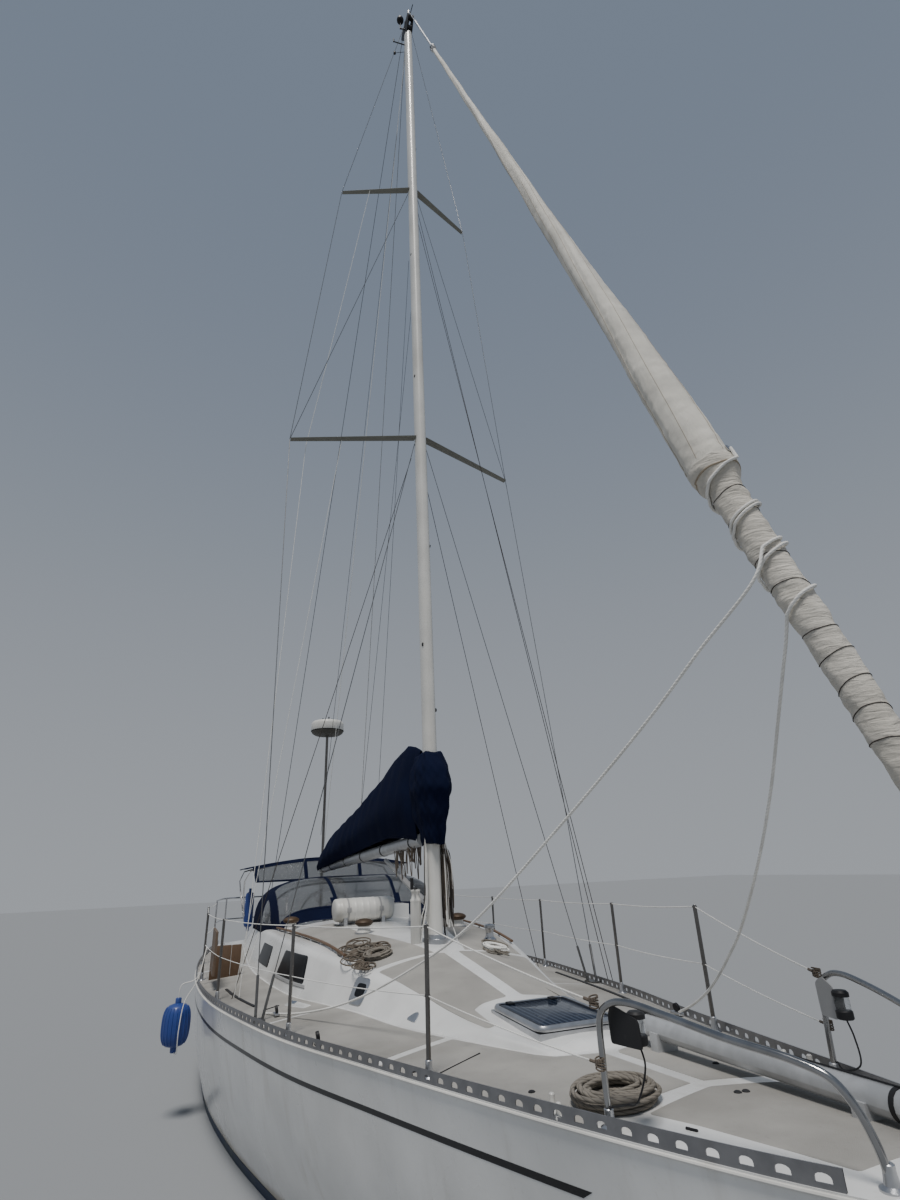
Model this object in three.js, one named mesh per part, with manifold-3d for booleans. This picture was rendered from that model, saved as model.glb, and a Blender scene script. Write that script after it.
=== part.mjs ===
// Sailing yacht of 11.5 m, afloat, with her mainsail under its cover and her genoa furled.
// Millimetres. +X to the bow, +Y to port, +Z up. The origin is on the waterline, amidships,
// straight under the foot of the mast.

import * as THREE from 'three'
import { mergeVertices } from 'three/addons/utils/BufferGeometryUtils.js'
import Module from 'manifold-3d'

const wasm = await Module()
wasm.setup()

// Driving dimensions

const GAP = 0.3 // between solids that touch
const DECK_THICKNESS = 28
const STEM_X = 4950
const STERN_X = -6550

// Hull lines. The keel line, the turn of the bilge, and the deck edge at each station.
const HULL_LINES = [
  // x, keelZ, bilgeZ, bilgeHalf, deckHalf
  [4950, 1325, 1375, 12, 20],
  [4750, 900, 1060, 52, 128],
  [4450, 150, 450, 92, 268],
  [4050, -170, 240, 160, 436],
  [3440, -300, 190, 296, 640],
  [2700, -390, 170, 520, 860],
  [1900, -460, 160, 770, 1090],
  [900, -520, 150, 1050, 1385],
  [-100, -560, 150, 1300, 1600],
  [-1200, -570, 150, 1530, 1785],
  [-2400, -540, 150, 1680, 1870],
  [-3600, -450, 150, 1705, 1860],
  [-4700, -310, 170, 1620, 1765],
  [-5600, -140, 210, 1480, 1625],
  [-6550, 90, 300, 1250, 1430],
]
const STATION_COUNT = 20
const TRANSOM_X = -6330 // at deck level
const TRANSOM_RAKE = THREE.MathUtils.degToRad(14)
const CAMBER = 0.05 // rise of the deck amidships, per half-breadth

// Coachroof: where its side meets the deck, and the edge and crown of its top.
const ROOF_AFT_X = -3400
const ROOF_LINES = [
  // x, footHalf, edgeHalf, edgeZ, crownZ
  [2540, 270, 240, 1290, 1312],
  [2430, 310, 290, 1334, 1356],
  [2050, 440, 400, 1347, 1380],
  [1600, 590, 440, 1362, 1420],
  [1200, 700, 500, 1402, 1474],
  [500, 820, 690, 1482, 1566],
  [0, 945, 830, 1523, 1630],
  [-740, 1130, 1010, 1575, 1672],
  [-2200, 1250, 1120, 1605, 1716],
  [ROOF_AFT_X, 1270, 1150, 1615, 1736],
]

// Cockpit and companionway
const COCKPIT_AFT_X = -5850
const SEAT_Z = 1020
const SEAT_HALF = 860
const SOLE_Z = 600
const SOLE_HALF = 360
const SOLE_AFT_X = -5450
const TABLE_PAD = { x: -4200, height: 6 } // the foot of a cockpit table is fastened here
const COAMING_INNER = 900
const WAY_HALF = 310
const WAY_FORWARD_X = -2720
const WAY_FLOOR_Z = 900
const SILL_Z = 1350

// Foredeck hatch
const HATCH = { aftX: 1710, frontX: 2330, half: 262, seatZ: 1362, fall: 0.035 }

// Rig
const MAST_RAKE = THREE.MathUtils.degToRad(1.23)
const MAST_FOOT_Z = 1634
const MASTHEAD_Z = 16760
const MAST_LONG = 185
const MAST_WIDE = 130
const LOWER_ROOT_Z = 7130
const UPPER_ROOT_Z = 11870
const SPREADERS = {
  // root height, half span, sweep aft, lift at the tip, chord at root and tip
  lower: { rootZ: LOWER_ROOT_Z, half: 1490, sweep: 650, lift: 100, rootChord: 120, tipChord: 84 },
  upper: { rootZ: UPPER_ROOT_Z, half: 1005, sweep: 430, lift: 64, rootChord: 104, tipChord: 62 },
}
const CHAINPLATE = { x: 150, half: 1515 }
const BACKSTAY_FOOT = { x: -6270, half: 760 }
const STAY_FOOT = new THREE.Vector3(4850, 0, 1500)
const WIRE = 4
const BOOM_HINGE = new THREE.Vector3(-225, 0, 2490)
const BOOM_SWING_AT_REST = THREE.MathUtils.degToRad(3.6) // end to starboard
const BOOM_LENGTH = 3900
const BOOM_DROOP = 215

// Deck edge gear
const RAIL_HEIGHT = 56
const STANCHION_HEIGHT = 680
const STANCHION_INSET = 58
const STANCHION_XS = [2350, 770, -1190, -2700, -4150]
const PULPIT_HEIGHT = 400

// Underwater gear
const STOCK_X = -5620
const SHAFT_SLOPE = THREE.MathUtils.degToRad(11)
const PROPELLER_AT = new THREE.Vector3(-4350, 0, -720)
const PROPELLER_RADIUS = 230

const WHEEL_AT = new THREE.Vector3(-4950, 0, 1560)
const WHEEL_RADIUS = 420
const WHEEL_LEAN = THREE.MathUtils.degToRad(8)

// Materials

function paint(color, roughness, metalness = 0) {
  return new THREE.MeshStandardMaterial({ color, roughness, metalness })
}
const gelcoat = paint(0xe9e9e4, 0.3)
const nonskid = paint(0xaaa69e, 0.8)
const antifouling = paint(0x2c3440, 0.8)
const sparWhite = paint(0xe6e0cf, 0.4)
const alloy = paint(0x8f9291, 0.45, 0.8)
const steel = paint(0xb9bcbd, 0.25, 1)
const bronze = paint(0x8a6a3a, 0.4, 1)
const navyCloth = paint(0x0e1026, 0.9)
const sailcloth = paint(0xd9d4c6, 0.85)
const blackPlastic = paint(0x17181a, 0.5)
const whitePlastic = paint(0xe2e2de, 0.4)
const blueVinyl = paint(0x23468f, 0.5)
const smokedGlass = paint(0x20242c, 0.1)
const teak = paint(0x5b3a20, 0.7)
const rope = paint(0x8b8271, 0.95)
const whiteRope = paint(0xcfccc2, 0.95)

// Small tools

const vec = (x, y, z) => new THREE.Vector3(x, y, z)

function row(table, x) {
  // Smooth interpolation between the rows of a table whose first column falls.
  let k = table.findIndex((line, i) => i + 1 === table.length - 1 || x >= table[i + 1][0])
  k = Math.max(0, Math.min(k, table.length - 2))
  const [a, b] = [table[k], table[k + 1]]
  const before = table[Math.max(0, k - 1)]
  const after = table[Math.min(table.length - 1, k + 2)]
  const t = (x - a[0]) / (b[0] - a[0])
  return a.map((value, c) => {
    const run = b[0] - a[0]
    const slopeA = k === 0 ? (b[c] - value) / run : (b[c] - before[c]) / (b[0] - before[0])
    const slopeB = b === after ? (b[c] - value) / run : (after[c] - value) / (after[0] - a[0])
    const t2 = t * t
    const t3 = t2 * t
    return (2 * t3 - 3 * t2 + 1) * value + (t3 - 2 * t2 + t) * run * slopeA
      + (3 * t2 - 2 * t3) * b[c] + (t3 - t2) * run * slopeB
  })
}

const sheerZ = (x) => 1190 + 0.025 * x + 4.2e-6 * x * x
const deckHalf = (x) => row(HULL_LINES, x)[4]
function deckZ(x, y) {
  const half = deckHalf(x)
  return sheerZ(x) + CAMBER * half * (1 - (y / half) ** 2)
}
const roofZ = (x) => row(ROOF_LINES, x)[4]

const mastX = (z) => -(z - MAST_FOOT_Z) * Math.tan(MAST_RAKE)

function solid(geometry) {
  const bare = geometry.clone()
  bare.deleteAttribute('normal')
  bare.deleteAttribute('uv')
  const merged = mergeVertices(bare, 1e-3)
  return new wasm.Manifold(new wasm.Mesh({
    numProp: 3,
    vertProperties: new Float32Array(merged.attributes.position.array),
    triVerts: new Uint32Array(merged.index.array),
  }))
}

function fromSolid(manifold) {
  const mesh = manifold.getMesh()
  const made = new THREE.BufferGeometry()
  made.setAttribute('position', new THREE.BufferAttribute(new Float32Array(mesh.vertProperties), 3))
  made.setIndex(new THREE.BufferAttribute(new Uint32Array(mesh.triVerts), 1))
  return made
}

const join = (...geometries) => fromSolid(geometries.map(solid).reduce((all, next) => all.add(next)))
const cut = (body, ...tools) => fromSolid(tools.map(solid).reduce((all, tool) => all.subtract(tool), solid(body)))
const raised = (geometry, lift) => geometry.clone().translate(0, 0, lift)
const around = (geometry) => [[0, 0, 1], [1, 0, 0], [0, 1, 0], [0, -1, 0]].map((way) => (
  geometry.clone().translate(...way.map((step) => step * GAP))))
const mirrored = (geometry) => orient(geometry.clone().scale(1, -1, 1))

function orient(geometry) {
  // Turn every face round if the body is inside out.
  const at = geometry.attributes.position
  const index = geometry.index
  let volume = 0
  const [a, b, c] = [vec(0, 0, 0), vec(0, 0, 0), vec(0, 0, 0)]
  for (let i = 0; i < index.count; i += 3) {
    a.fromBufferAttribute(at, index.getX(i))
    b.fromBufferAttribute(at, index.getX(i + 1))
    c.fromBufferAttribute(at, index.getX(i + 2))
    volume += a.dot(b.cross(c))
  }
  if (volume < 0) {
    for (let i = 0; i < index.count; i += 3) {
      const first = index.getX(i)
      index.setX(i, index.getX(i + 1))
      index.setX(i + 1, first)
    }
  }
  return geometry
}

function loft(rings) {
  // A closed body through rings of equally many points, with a fan over each end.
  const count = rings[0].length
  const points = rings.flat()
  const faces = []
  for (let i = 0; i < rings.length - 1; i += 1) {
    for (let j = 0; j < count; j += 1) {
      const a = i * count + j
      const b = i * count + ((j + 1) % count)
      faces.push(a, b, a + count, b, b + count, a + count)
    }
  }
  for (const start of [0, (rings.length - 1) * count]) {
    const middle = vec(0, 0, 0)
    for (let j = 0; j < count; j += 1) middle.add(points[start + j])
    points.push(middle.divideScalar(count))
    for (let j = 0; j < count; j += 1) {
      const pair = [start + ((j + 1) % count), start + j]
      faces.push(points.length - 1, ...(start === 0 ? pair : pair.reverse()))
    }
  }
  const made = new THREE.BufferGeometry()
  made.setAttribute('position', new THREE.Float32BufferAttribute(points.flatMap((p) => [p.x, p.y, p.z]), 3))
  made.setIndex(faces)
  return orient(made)
}

function box(x0, x1, y0, y1, z0, z1) {
  return new THREE.BoxGeometry(Math.abs(x1 - x0), Math.abs(y1 - y0), Math.abs(z1 - z0))
    .translate((x0 + x1) / 2, (y0 + y1) / 2, (z0 + z1) / 2)
}

function rod(from, to, radius, sides = 8, endRadius = radius) {
  const along = to.clone().sub(from)
  const turn = new THREE.Quaternion().setFromUnitVectors(vec(0, 1, 0), along.clone().normalize())
  const middle = from.clone().add(to).multiplyScalar(0.5)
  return new THREE.CylinderGeometry(endRadius, radius, along.length(), sides)
    .applyQuaternion(turn).translate(middle.x, middle.y, middle.z)
}

function tube(points, radius, sides = 8, steps = 16) {
  const section = new THREE.Shape()
  for (let i = 0; i < sides; i += 1) {
    const turn = (2 * Math.PI * i) / sides
    section[i === 0 ? 'moveTo' : 'lineTo'](radius * Math.cos(turn), radius * Math.sin(turn))
  }
  section.closePath()
  const path = new THREE.CatmullRomCurve3(points, false, 'centripetal')
  return new THREE.ExtrudeGeometry(section, { steps, extrudePath: path, bevelEnabled: false })
}

function pad(x, y, z, radius, height, sides = 12) {
  // A round foot that starts a little below the surface, which then cuts it flush.
  return rod(vec(x, y, z - 20), vec(x, y, z + height), radius, sides)
}

const yacht = new THREE.Group()
function add(name, geometry, material, parent = yacht) {
  const mesh = new THREE.Mesh(geometry, material)
  mesh.name = name
  parent.add(mesh)
  return mesh
}

// Hull and deck

function hullRing(x) {
  const [, keelZ, bilgeZ, bilgeHalf, half] = row(HULL_LINES, x)
  const edgeZ = sheerZ(x)
  const side = []
  for (const turn of [0, 24, 46, 68, 90]) {
    const angle = THREE.MathUtils.degToRad(turn)
    side.push([bilgeHalf * Math.sin(angle) ** 0.85, bilgeZ - (bilgeZ - keelZ) * Math.cos(angle) ** 0.9])
  }
  side.push([bilgeHalf + (half - bilgeHalf) * 0.6, bilgeZ + (edgeZ - bilgeZ) * 0.42])
  side.push([half, edgeZ])
  for (const share of [0.8, 0.45]) side.push([half * share, deckZ(x, half * share)])
  side[0][0] = 0
  const ring = side.map(([y, z]) => vec(x, y, z))
  ring.push(vec(x, 0, deckZ(x, 0)))
  for (const [y, z] of side.slice(1).reverse()) ring.push(vec(x, -y, z))
  return ring
}

function stations(from, to, count) {
  return Array.from({ length: count }, (_, i) => from + ((to - from) * i) / (count - 1))
}

function hullBody() {
  const rings = stations(STEM_X, STERN_X, STATION_COUNT).map(hullRing)
  const transom = box(-900, 0, -1700, 1700, -1600, 400)
    .rotateY(-TRANSOM_RAKE).translate(TRANSOM_X, 0, sheerZ(TRANSOM_X))
  return cut(loft(rings), transom)
}

function belowDeckTool() {
  // Everything under the deck slab's lower face.
  return loft(stations(STEM_X + 50, STERN_X - 50, STATION_COUNT).map((x) => {
    const lid = (y) => deckZ(Math.min(x, STEM_X), y) - DECK_THICKNESS
    const half = deckHalf(Math.min(x, STEM_X))
    const wide = half + 200
    const edge = sheerZ(x) - DECK_THICKNESS
    return [
      vec(x, -wide, -1500), vec(x, wide, -1500), vec(x, wide, edge), vec(x, half, edge),
      vec(x, half * 0.8, lid(half * 0.8)), vec(x, half * 0.45, lid(half * 0.45)), vec(x, 0, lid(0)),
      vec(x, -half * 0.45, lid(half * 0.45)), vec(x, -half * 0.8, lid(half * 0.8)),
      vec(x, -half, edge), vec(x, -wide, edge),
    ]
  }))
}

const whole = hullBody()
const wells = [
  box(ROOF_AFT_X - 30, COCKPIT_AFT_X, -SEAT_HALF, SEAT_HALF, SEAT_Z, 1900),
  box(ROOF_AFT_X - 30, SOLE_AFT_X, -SOLE_HALF, SOLE_HALF, SOLE_Z, 1900),
  box(WAY_FORWARD_X, ROOF_AFT_X + 40, -WAY_HALF, WAY_HALF, WAY_FLOOR_Z, 1900),
  box(WAY_FORWARD_X, ROOF_AFT_X - 40, -WAY_HALF, WAY_HALF, SILL_Z, 1900),
  box(HATCH.aftX + 50, HATCH.frontX - 50, -HATCH.half + 50, HATCH.half - 50, 1120, 1900),
]
const lower = belowDeckTool()
const hullSolid = solid(whole).intersect(solid(lower))
const stockBore = rod(vec(STOCK_X, 0, -400), vec(STOCK_X, 0, 240), 36, 12)
const shaftAxis = vec(Math.cos(SHAFT_SLOPE), 0, Math.sin(SHAFT_SLOPE))
const shaftAt = (distance) => PROPELLER_AT.clone().addScaledVector(shaftAxis, distance)
const shaftBore = rod(shaftAt(900), shaftAt(1750), 24, 12)
const tablePad = box(TABLE_PAD.x - 80, TABLE_PAD.x + 80, -80, 80, SOLE_Z - 10, SOLE_Z + TABLE_PAD.height)
add('hull', join(cut(fromSolid(hullSolid), ...wells, stockBore, shaftBore), tablePad), gelcoat)
add('deck', cut(fromSolid(solid(whole).subtract(solid(raised(lower, GAP)))), ...wells), nonskid)

// Coachroof and cockpit coamings

function roofRing(x) {
  const [, foot, edge, edgeZ, crownZ] = row(ROOF_LINES, x)
  const shoulder = (share) => edgeZ + (crownZ - edgeZ) * (1 - share * share)
  const footZ = sheerZ(x)
  const half = [
    [foot, footZ - 60], [foot, footZ + 30], [edge, edgeZ],
    [edge * 0.7, shoulder(0.7)], [edge * 0.35, shoulder(0.35)],
  ]
  const ring = half.map(([y, z]) => vec(x, y, z))
  ring.push(vec(x, 0, crownZ))
  for (const [y, z] of half.reverse()) ring.push(vec(x, -y, z))
  return ring
}

const onDeck = (geometry) => cut(geometry, raised(whole, GAP))

const roofXs = [2540, ...stations(2440, 0, 10), ...stations(0, ROOF_AFT_X, 9).slice(1)]
const roofBody = loft(roofXs.map(roofRing))
function roofTop(x, y) {
  const [, , edge, edgeZ, crownZ] = row(ROOF_LINES, x)
  return edgeZ + (crownZ - edgeZ) * (1 - Math.min(1, Math.abs(y) / edge) ** 2)
}

function coamingRing(x) {
  const share = (ROOF_AFT_X - x) / (ROOF_AFT_X - COCKPIT_AFT_X)
  const outer = 1262 - 130 * share
  const top = 1604 - 170 * share
  return [
    vec(x, outer, 1150), vec(x, outer, deckZ(x, outer) + 20), vec(x, outer - 110, top - 12),
    vec(x, outer - 150, top), vec(x, COAMING_INNER + 30, top), vec(x, COAMING_INNER, top - 30),
    vec(x, COAMING_INNER, 1150),
  ]
}
const coaming = loft(stations(ROOF_AFT_X + 60, COCKPIT_AFT_X, 6).map(coamingRing))

const VENTS = [[-2260, -930], [-900, -420], [-1050, 640]]
const VENT_PROFILE = [[0, -20], [62, -20], [60, 12], [42, 62], [66, 118], [0, 118]]
const turned = (profile, sides) => new THREE.LatheGeometry(
  profile.map(([r, h]) => new THREE.Vector2(r, h)), sides).rotateX(Math.PI / 2)
const vents = VENTS.map(([x, y]) => turned(VENT_PROFILE, 10).translate(x, y, roofTop(x, y)))

add('coachroof', cut(join(roofBody, coaming, mirrored(coaming), ...vents), raised(whole, GAP),
  box(WAY_FORWARD_X, ROOF_AFT_X + 40, -WAY_HALF, WAY_HALF, 1000, 1900),
  box(WAY_FORWARD_X, ROOF_AFT_X - 40, -WAY_HALF, WAY_HALF, SILL_Z, 1900),
  box(HATCH.aftX + 50, HATCH.frontX - 50, -HATCH.half + 50, HATCH.half - 50, 1120, 1900)), gelcoat)

// Companionway: washboard, sliding hatch and the garage that it slides into

const WASHBOARD_X = ROOF_AFT_X + 20
add('washboard', box(WASHBOARD_X - 12, WASHBOARD_X + 12, -WAY_HALF + 1, WAY_HALF - 1, SILL_Z + GAP, 1725), teak)

const GARAGE = { aftX: -2760, frontX: -2060, half: 420, topZ: 1842 }
const roofGap = raised(roofBody, GAP) // to cut the foot of what stands on the coachroof
const garage = cut(
  box(GARAGE.aftX, GARAGE.frontX, -GARAGE.half, GARAGE.half, 1600, GARAGE.topZ),
  box(GARAGE.aftX - 10, GARAGE.frontX - 35, -GARAGE.half + 30, GARAGE.half - 30, 1600, GARAGE.topZ - 22))
const runners = [1, -1].map((sign) => box(-3390, GARAGE.aftX + 5, sign * 358, sign * 395, 1600, 1790))
add('hatch_garage', cut(join(garage, ...runners), roofGap), gelcoat)

const SLIDE_HALF = 345
add('sliding_hatch', join(
  box(-3425, -2700, -SLIDE_HALF, SLIDE_HALF, 1772, 1800),
  box(-3425, -3395, -SLIDE_HALF, SLIDE_HALF, 1742, 1780)), whitePlastic)

// Foredeck hatch: a frame on the deck and a lid hinged along its front edge

const hatchMiddle = (HATCH.aftX + HATCH.frontX) / 2
const hatchTilt = Math.atan(HATCH.fall)
const hatchPlace = (geometry) => geometry.rotateY(hatchTilt).translate(hatchMiddle, 0, HATCH.seatZ + 34)
const hatchLong = (HATCH.frontX - HATCH.aftX) / 2
const hatchFrame = cut(
  hatchPlace(box(-hatchLong, hatchLong, -HATCH.half, HATCH.half, -120, -2)),
  hatchPlace(box(-hatchLong + 45, hatchLong - 45, -HATCH.half + 45, HATCH.half - 45, -200, 50)),
  roofGap, raised(whole, GAP))
add('hatch_frame', hatchFrame, alloy)
add('hatch_lid', hatchPlace(box(-hatchLong + 4, hatchLong - 4, -HATCH.half + 4, HATCH.half - 4, 3, 31)), smokedGlass)

// Toe rails and bow fitting

function railRing(x, sign) {
  const outer = deckHalf(x) - 6
  const inner = outer - 14
  const base = sheerZ(x)
  return [vec(x, sign * outer, base - 8), vec(x, sign * outer, base + RAIL_HEIGHT),
    vec(x, sign * inner, base + RAIL_HEIGHT), vec(x, sign * inner, base - 8)]
}
for (const [side, sign] of [['port', 1], ['starboard', -1]]) {
  const body = loft(stations(STEM_X, STERN_X, STATION_COUNT).slice(1, -1).map((x) => railRing(x, sign)))
  add(`toe_rail_${side}`, cut(body, ...around(whole)), alloy)
}
add('bow_fitting', cut(join(
  box(4560, 5010, -62, 62, 1385, 1462),
  box(4790, 4900, -7, 7, 1455, 1548),
  rod(vec(5000, -58, 1434), vec(5000, 58, 1434), 40, 12)), ...around(whole)), steel)

// Stanchions, lifelines, pulpit and pushpit

const postHalf = (x) => deckHalf(x) - STANCHION_INSET
function guardRail() {
  const parts = []
  const tops = []
  for (const x of STANCHION_XS) {
    const foot = vec(x, postHalf(x), deckZ(x, postHalf(x)) + 3)
    const top = foot.clone().add(vec(0, 6, STANCHION_HEIGHT))
    parts.push(rod(foot, top, 12.5, 6), pad(foot.x, foot.y, foot.z, 34, 40, 8))
    tops.push(top)
  }
  const first = vec(3440, 596, sheerZ(3440) + PULPIT_HEIGHT + 4)
  const last = vec(-5350, postHalf(-5350), sheerZ(-5350) + STANCHION_HEIGHT - 10)
  const upper = [first, ...tops, last]
  for (let i = 0; i < upper.length - 1; i += 1) {
    const [a, b] = [upper[i].clone(), upper[i + 1].clone()]
    const low = [a, b].map((p, k) => {
      const fixed = (i === 0 && k === 0) ? 20 : 330
      return p.clone().add(vec(0, 0, -fixed))
    })
    if (i === 0) a.x -= 25
    if (i === 0) low[0].x -= 25
    if (i === upper.length - 2) b.x += 30
    if (i === upper.length - 2) low[1].x += 30
    const drop = vec(0, 0, -12)
    parts.push(rod(a.add(drop), b.add(drop), 3.5, 6), rod(low[0], low[1], 3, 6))
  }
  return join(...parts)
}
const guard = onDeck(guardRail())
add('guard_rail_port', guard, steel)
add('guard_rail_starboard', mirrored(guard), steel)

function pulpitHalf() {
  const aft = vec(3440, 580, deckZ(3440, 580) + 2)
  const front = vec(4300, 250, deckZ(4300, 250) + 2)
  const above = (x, y, height) => vec(x, y, sheerZ(x) + height)
  const top = [
    aft, above(3446, 586, 200), above(3466, 588, PULPIT_HEIGHT - 36), above(3530, 576, PULPIT_HEIGHT + 6),
    above(3610, 556, PULPIT_HEIGHT + 12), above(3760, 512, 384), above(3960, 440, 334), above(4150, 352, 290),
    above(4230, 312, 254), above(4274, 286, 186), above(4296, 262, 90), front,
  ]
  const light = join(box(3480, 3660, 545, 553, 1480, 1700), box(3520, 3590, 470, 546, 1560, 1650),
    box(3560, 3580, 549, 574, 1690, 1740))
  return join(tube(top, 12.5, 6, 20), pad(aft.x, aft.y, aft.z, 34, 12), pad(front.x, front.y, front.z, 34, 12), light)
}
const pulpit = onDeck(pulpitHalf())
add('pulpit_port', pulpit, steel)
add('pulpit_starboard', mirrored(pulpit), steel)

function pushpitBody() {
  const parts = []
  const railZ = sheerZ(-6200) + STANCHION_HEIGHT
  const corner = (sign) => [
    vec(-5380, sign * postHalf(-5380), railZ - 6), vec(-5900, sign * postHalf(-5900), railZ),
    vec(-6150, sign * (postHalf(-6150) - 40), railZ), vec(-6235, sign * (postHalf(-6200) - 200), railZ),
    vec(-6240, sign * 700, railZ), vec(-6240, sign * 420, railZ),
  ]
  parts.push(rod(vec(-6240, -425, railZ), vec(-6240, 425, railZ), 3.5, 4))
  for (const sign of [1, -1]) {
    parts.push(tube(corner(sign), 12.5, 6, 10))
    parts.push(tube(corner(sign).map((p) => p.clone().add(vec(0, 0, -310))), 10, 6, 9))
    for (const [x, y] of [[-5400, postHalf(-5400)], [-6140, postHalf(-6140) - 38], [-6240, 430]]) {
      const foot = vec(x, sign * y, deckZ(x, y) + 2)
      parts.push(rod(foot, vec(x, sign * y, railZ - 2), 12.5, 6), pad(x, sign * y, foot.z, 34, 12, 8))
    }
  }
  return join(...parts)
}
add('pushpit', onDeck(pushpitBody()), steel)

// Mast, spreaders and standing rigging

function mastRing(z, shrink = 0) {
  const ring = []
  for (let i = 0; i < 16; i += 1) {
    const turn = (2 * Math.PI * i) / 16
    ring.push(vec(mastX(z) + (MAST_LONG / 2 - shrink) * Math.cos(turn), (MAST_WIDE / 2 - shrink) * Math.sin(turn), z))
  }
  return ring
}
const mastSolid = loft([mastRing(MAST_FOOT_Z - 60), mastRing(MASTHEAD_Z - 90)])
const crane = box(mastX(MASTHEAD_Z) - 190, mastX(MASTHEAD_Z) + 150, -42, 42, MASTHEAD_Z - 88, MASTHEAD_Z)
add('mast', cut(join(mastSolid, crane.translate(0, 0, -4)), roofGap), sparWhite)
add('mast_collar', cut(
  loft([
    mastRing(roofZ(0) - 40, -46), mastRing(roofZ(0) + 24, -46),
    mastRing(roofZ(0) + 25, -16), mastRing(roofZ(0) + 60, -16),
  ]),
  loft([mastRing(1500, -1), mastRing(1900, -1)]), roofGap), alloy)
add('masthead_gear', join(
  box(mastX(MASTHEAD_Z) - 110, mastX(MASTHEAD_Z) + 80, -30, 30, MASTHEAD_Z - 3, MASTHEAD_Z + 4),
  rod(vec(mastX(MASTHEAD_Z) - 60, 0, MASTHEAD_Z - 3), vec(mastX(MASTHEAD_Z) - 60, 0, MASTHEAD_Z + 70), 45, 12),
  rod(vec(mastX(MASTHEAD_Z) + 60, 0, MASTHEAD_Z - 3), vec(mastX(MASTHEAD_Z) + 60, 0, MASTHEAD_Z + 260), 6, 8),
  rod(vec(mastX(MASTHEAD_Z) + 60, 0, MASTHEAD_Z + 240), vec(mastX(MASTHEAD_Z) - 60, 0, MASTHEAD_Z + 250), 9, 6)),
blackPlastic)

const spreaderTip = (s) => vec(mastX(s.rootZ) - s.sweep, s.half, s.rootZ + s.lift)
function spreader(s) {
  const root = vec(mastX(s.rootZ) - 6, MAST_WIDE / 2 + 1, s.rootZ)
  const tip = spreaderTip(s)
  const blade = (at, chord, thick) => [0, 45, 90, 135, 180, 225, 270, 315].map((degree) => {
    const turn = THREE.MathUtils.degToRad(degree)
    return vec(at.x + (chord / 2) * Math.cos(turn), at.y, at.z + (thick / 2) * Math.sin(turn))
  })
  return loft([blade(root, s.rootChord, 34), blade(tip, s.tipChord, 22)])
}
for (const [name, s] of Object.entries(SPREADERS)) {
  add(`spreader_${name}_port`, spreader(s), alloy)
  add(`spreader_${name}_starboard`, mirrored(spreader(s)), alloy)
}

function shroudSet() {
  const plate = vec(CHAINPLATE.x, CHAINPLATE.half, deckZ(CHAINPLATE.x, CHAINPLATE.half) + 12)
  const lowTip = spreaderTip(SPREADERS.lower).add(vec(0, 10, 0))
  const highTip = spreaderTip(SPREADERS.upper).add(vec(0, 10, 0))
  const mastSide = (z, out) => vec(mastX(z) - 20, MAST_WIDE / 2 + out, z)
  const aft = vec(-55, -57, 0)
  return join(
    rod(plate, lowTip, WIRE, 6), rod(lowTip, highTip, WIRE, 6), rod(highTip, mastSide(16560, 3), WIRE, 6),
    rod(lowTip.clone().add(vec(0, -3, 10)), mastSide(UPPER_ROOT_Z - 70, 4), WIRE, 6),
    rod(plate.clone().add(aft), mastSide(LOWER_ROOT_Z - 80, 4), WIRE, 6),
    rod(plate, plate.clone().lerp(lowTip, 0.05), 11, 8),
    rod(plate.clone().add(aft), plate.clone().add(aft).lerp(mastSide(LOWER_ROOT_Z - 80, 4), 0.05), 11, 8),
    box(plate.x - 90, plate.x + 40, plate.y - 70, plate.y + 6, plate.z - 40, plate.z + 8))
}
const shrouds = onDeck(shroudSet())
add('shrouds_port', shrouds, steel)
add('shrouds_starboard', mirrored(shrouds), steel)

const backstayHead = vec(mastX(MASTHEAD_Z) - 206, 0, MASTHEAD_Z - 60)
const backstayFoot = (sign) => vec(
  BACKSTAY_FOOT.x, sign * BACKSTAY_FOOT.half, deckZ(BACKSTAY_FOOT.x, BACKSTAY_FOOT.half) + 10)
function backstay(sign) {
  const foot = backstayFoot(sign)
  const head = backstayHead.clone().add(vec(0, sign * 24, 0))
  return join(rod(foot.clone().lerp(head, 0.01), head, 5, 8), rod(foot, foot.clone().lerp(head, 0.02), 11, 8),
    pad(foot.x, foot.y, foot.z - 6, 34, 10, 8))
}
add('backstay_port', onDeck(backstay(1)), steel)
add('backstay_starboard', onDeck(backstay(-1)), steel)

// Forestay, furling gear and the furled genoa

const stayHead = vec(mastX(MASTHEAD_Z) + 156, 0, MASTHEAD_Z - 70)
const onStay = (share) => STAY_FOOT.clone().lerp(stayHead, share)
const FOIL_RADIUS = 17
const ROLL = [
  // share of the forestay, radius of the rolled sail
  [0.045, 34], [0.06, 58], [0.107, 66], [0.15, 76], [0.158, 112], [0.2, 104], [0.27, 84], [0.4, 66],
  [0.55, 52], [0.7, 40], [0.79, 26],
]
function ringAround(centre, along, radius, sides = 12) {
  const side = vec(0, 1, 0)
  const up = along.clone().normalize().cross(side).normalize()
  return Array.from({ length: sides }, (_, i) => {
    const turn = (2 * Math.PI * i) / sides
    return centre.clone().addScaledVector(side, radius * Math.cos(turn)).addScaledVector(up, radius * Math.sin(turn))
  })
}
const stayLine = stayHead.clone().sub(STAY_FOOT)
add('furled_genoa', cut(
  loft(ROLL.map(([share, radius]) => ringAround(onStay(share), stayLine, radius))),
  rod(onStay(0.03), onStay(0.82), FOIL_RADIUS + 1, 12)), sailcloth)
add('forestay', join(
  rod(onStay(0.0045), onStay(0.992), 5, 8), rod(onStay(0.034), onStay(0.95), FOIL_RADIUS, 10),
  rod(onStay(0.795), onStay(0.806), 44, 10)), alloy)
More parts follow.
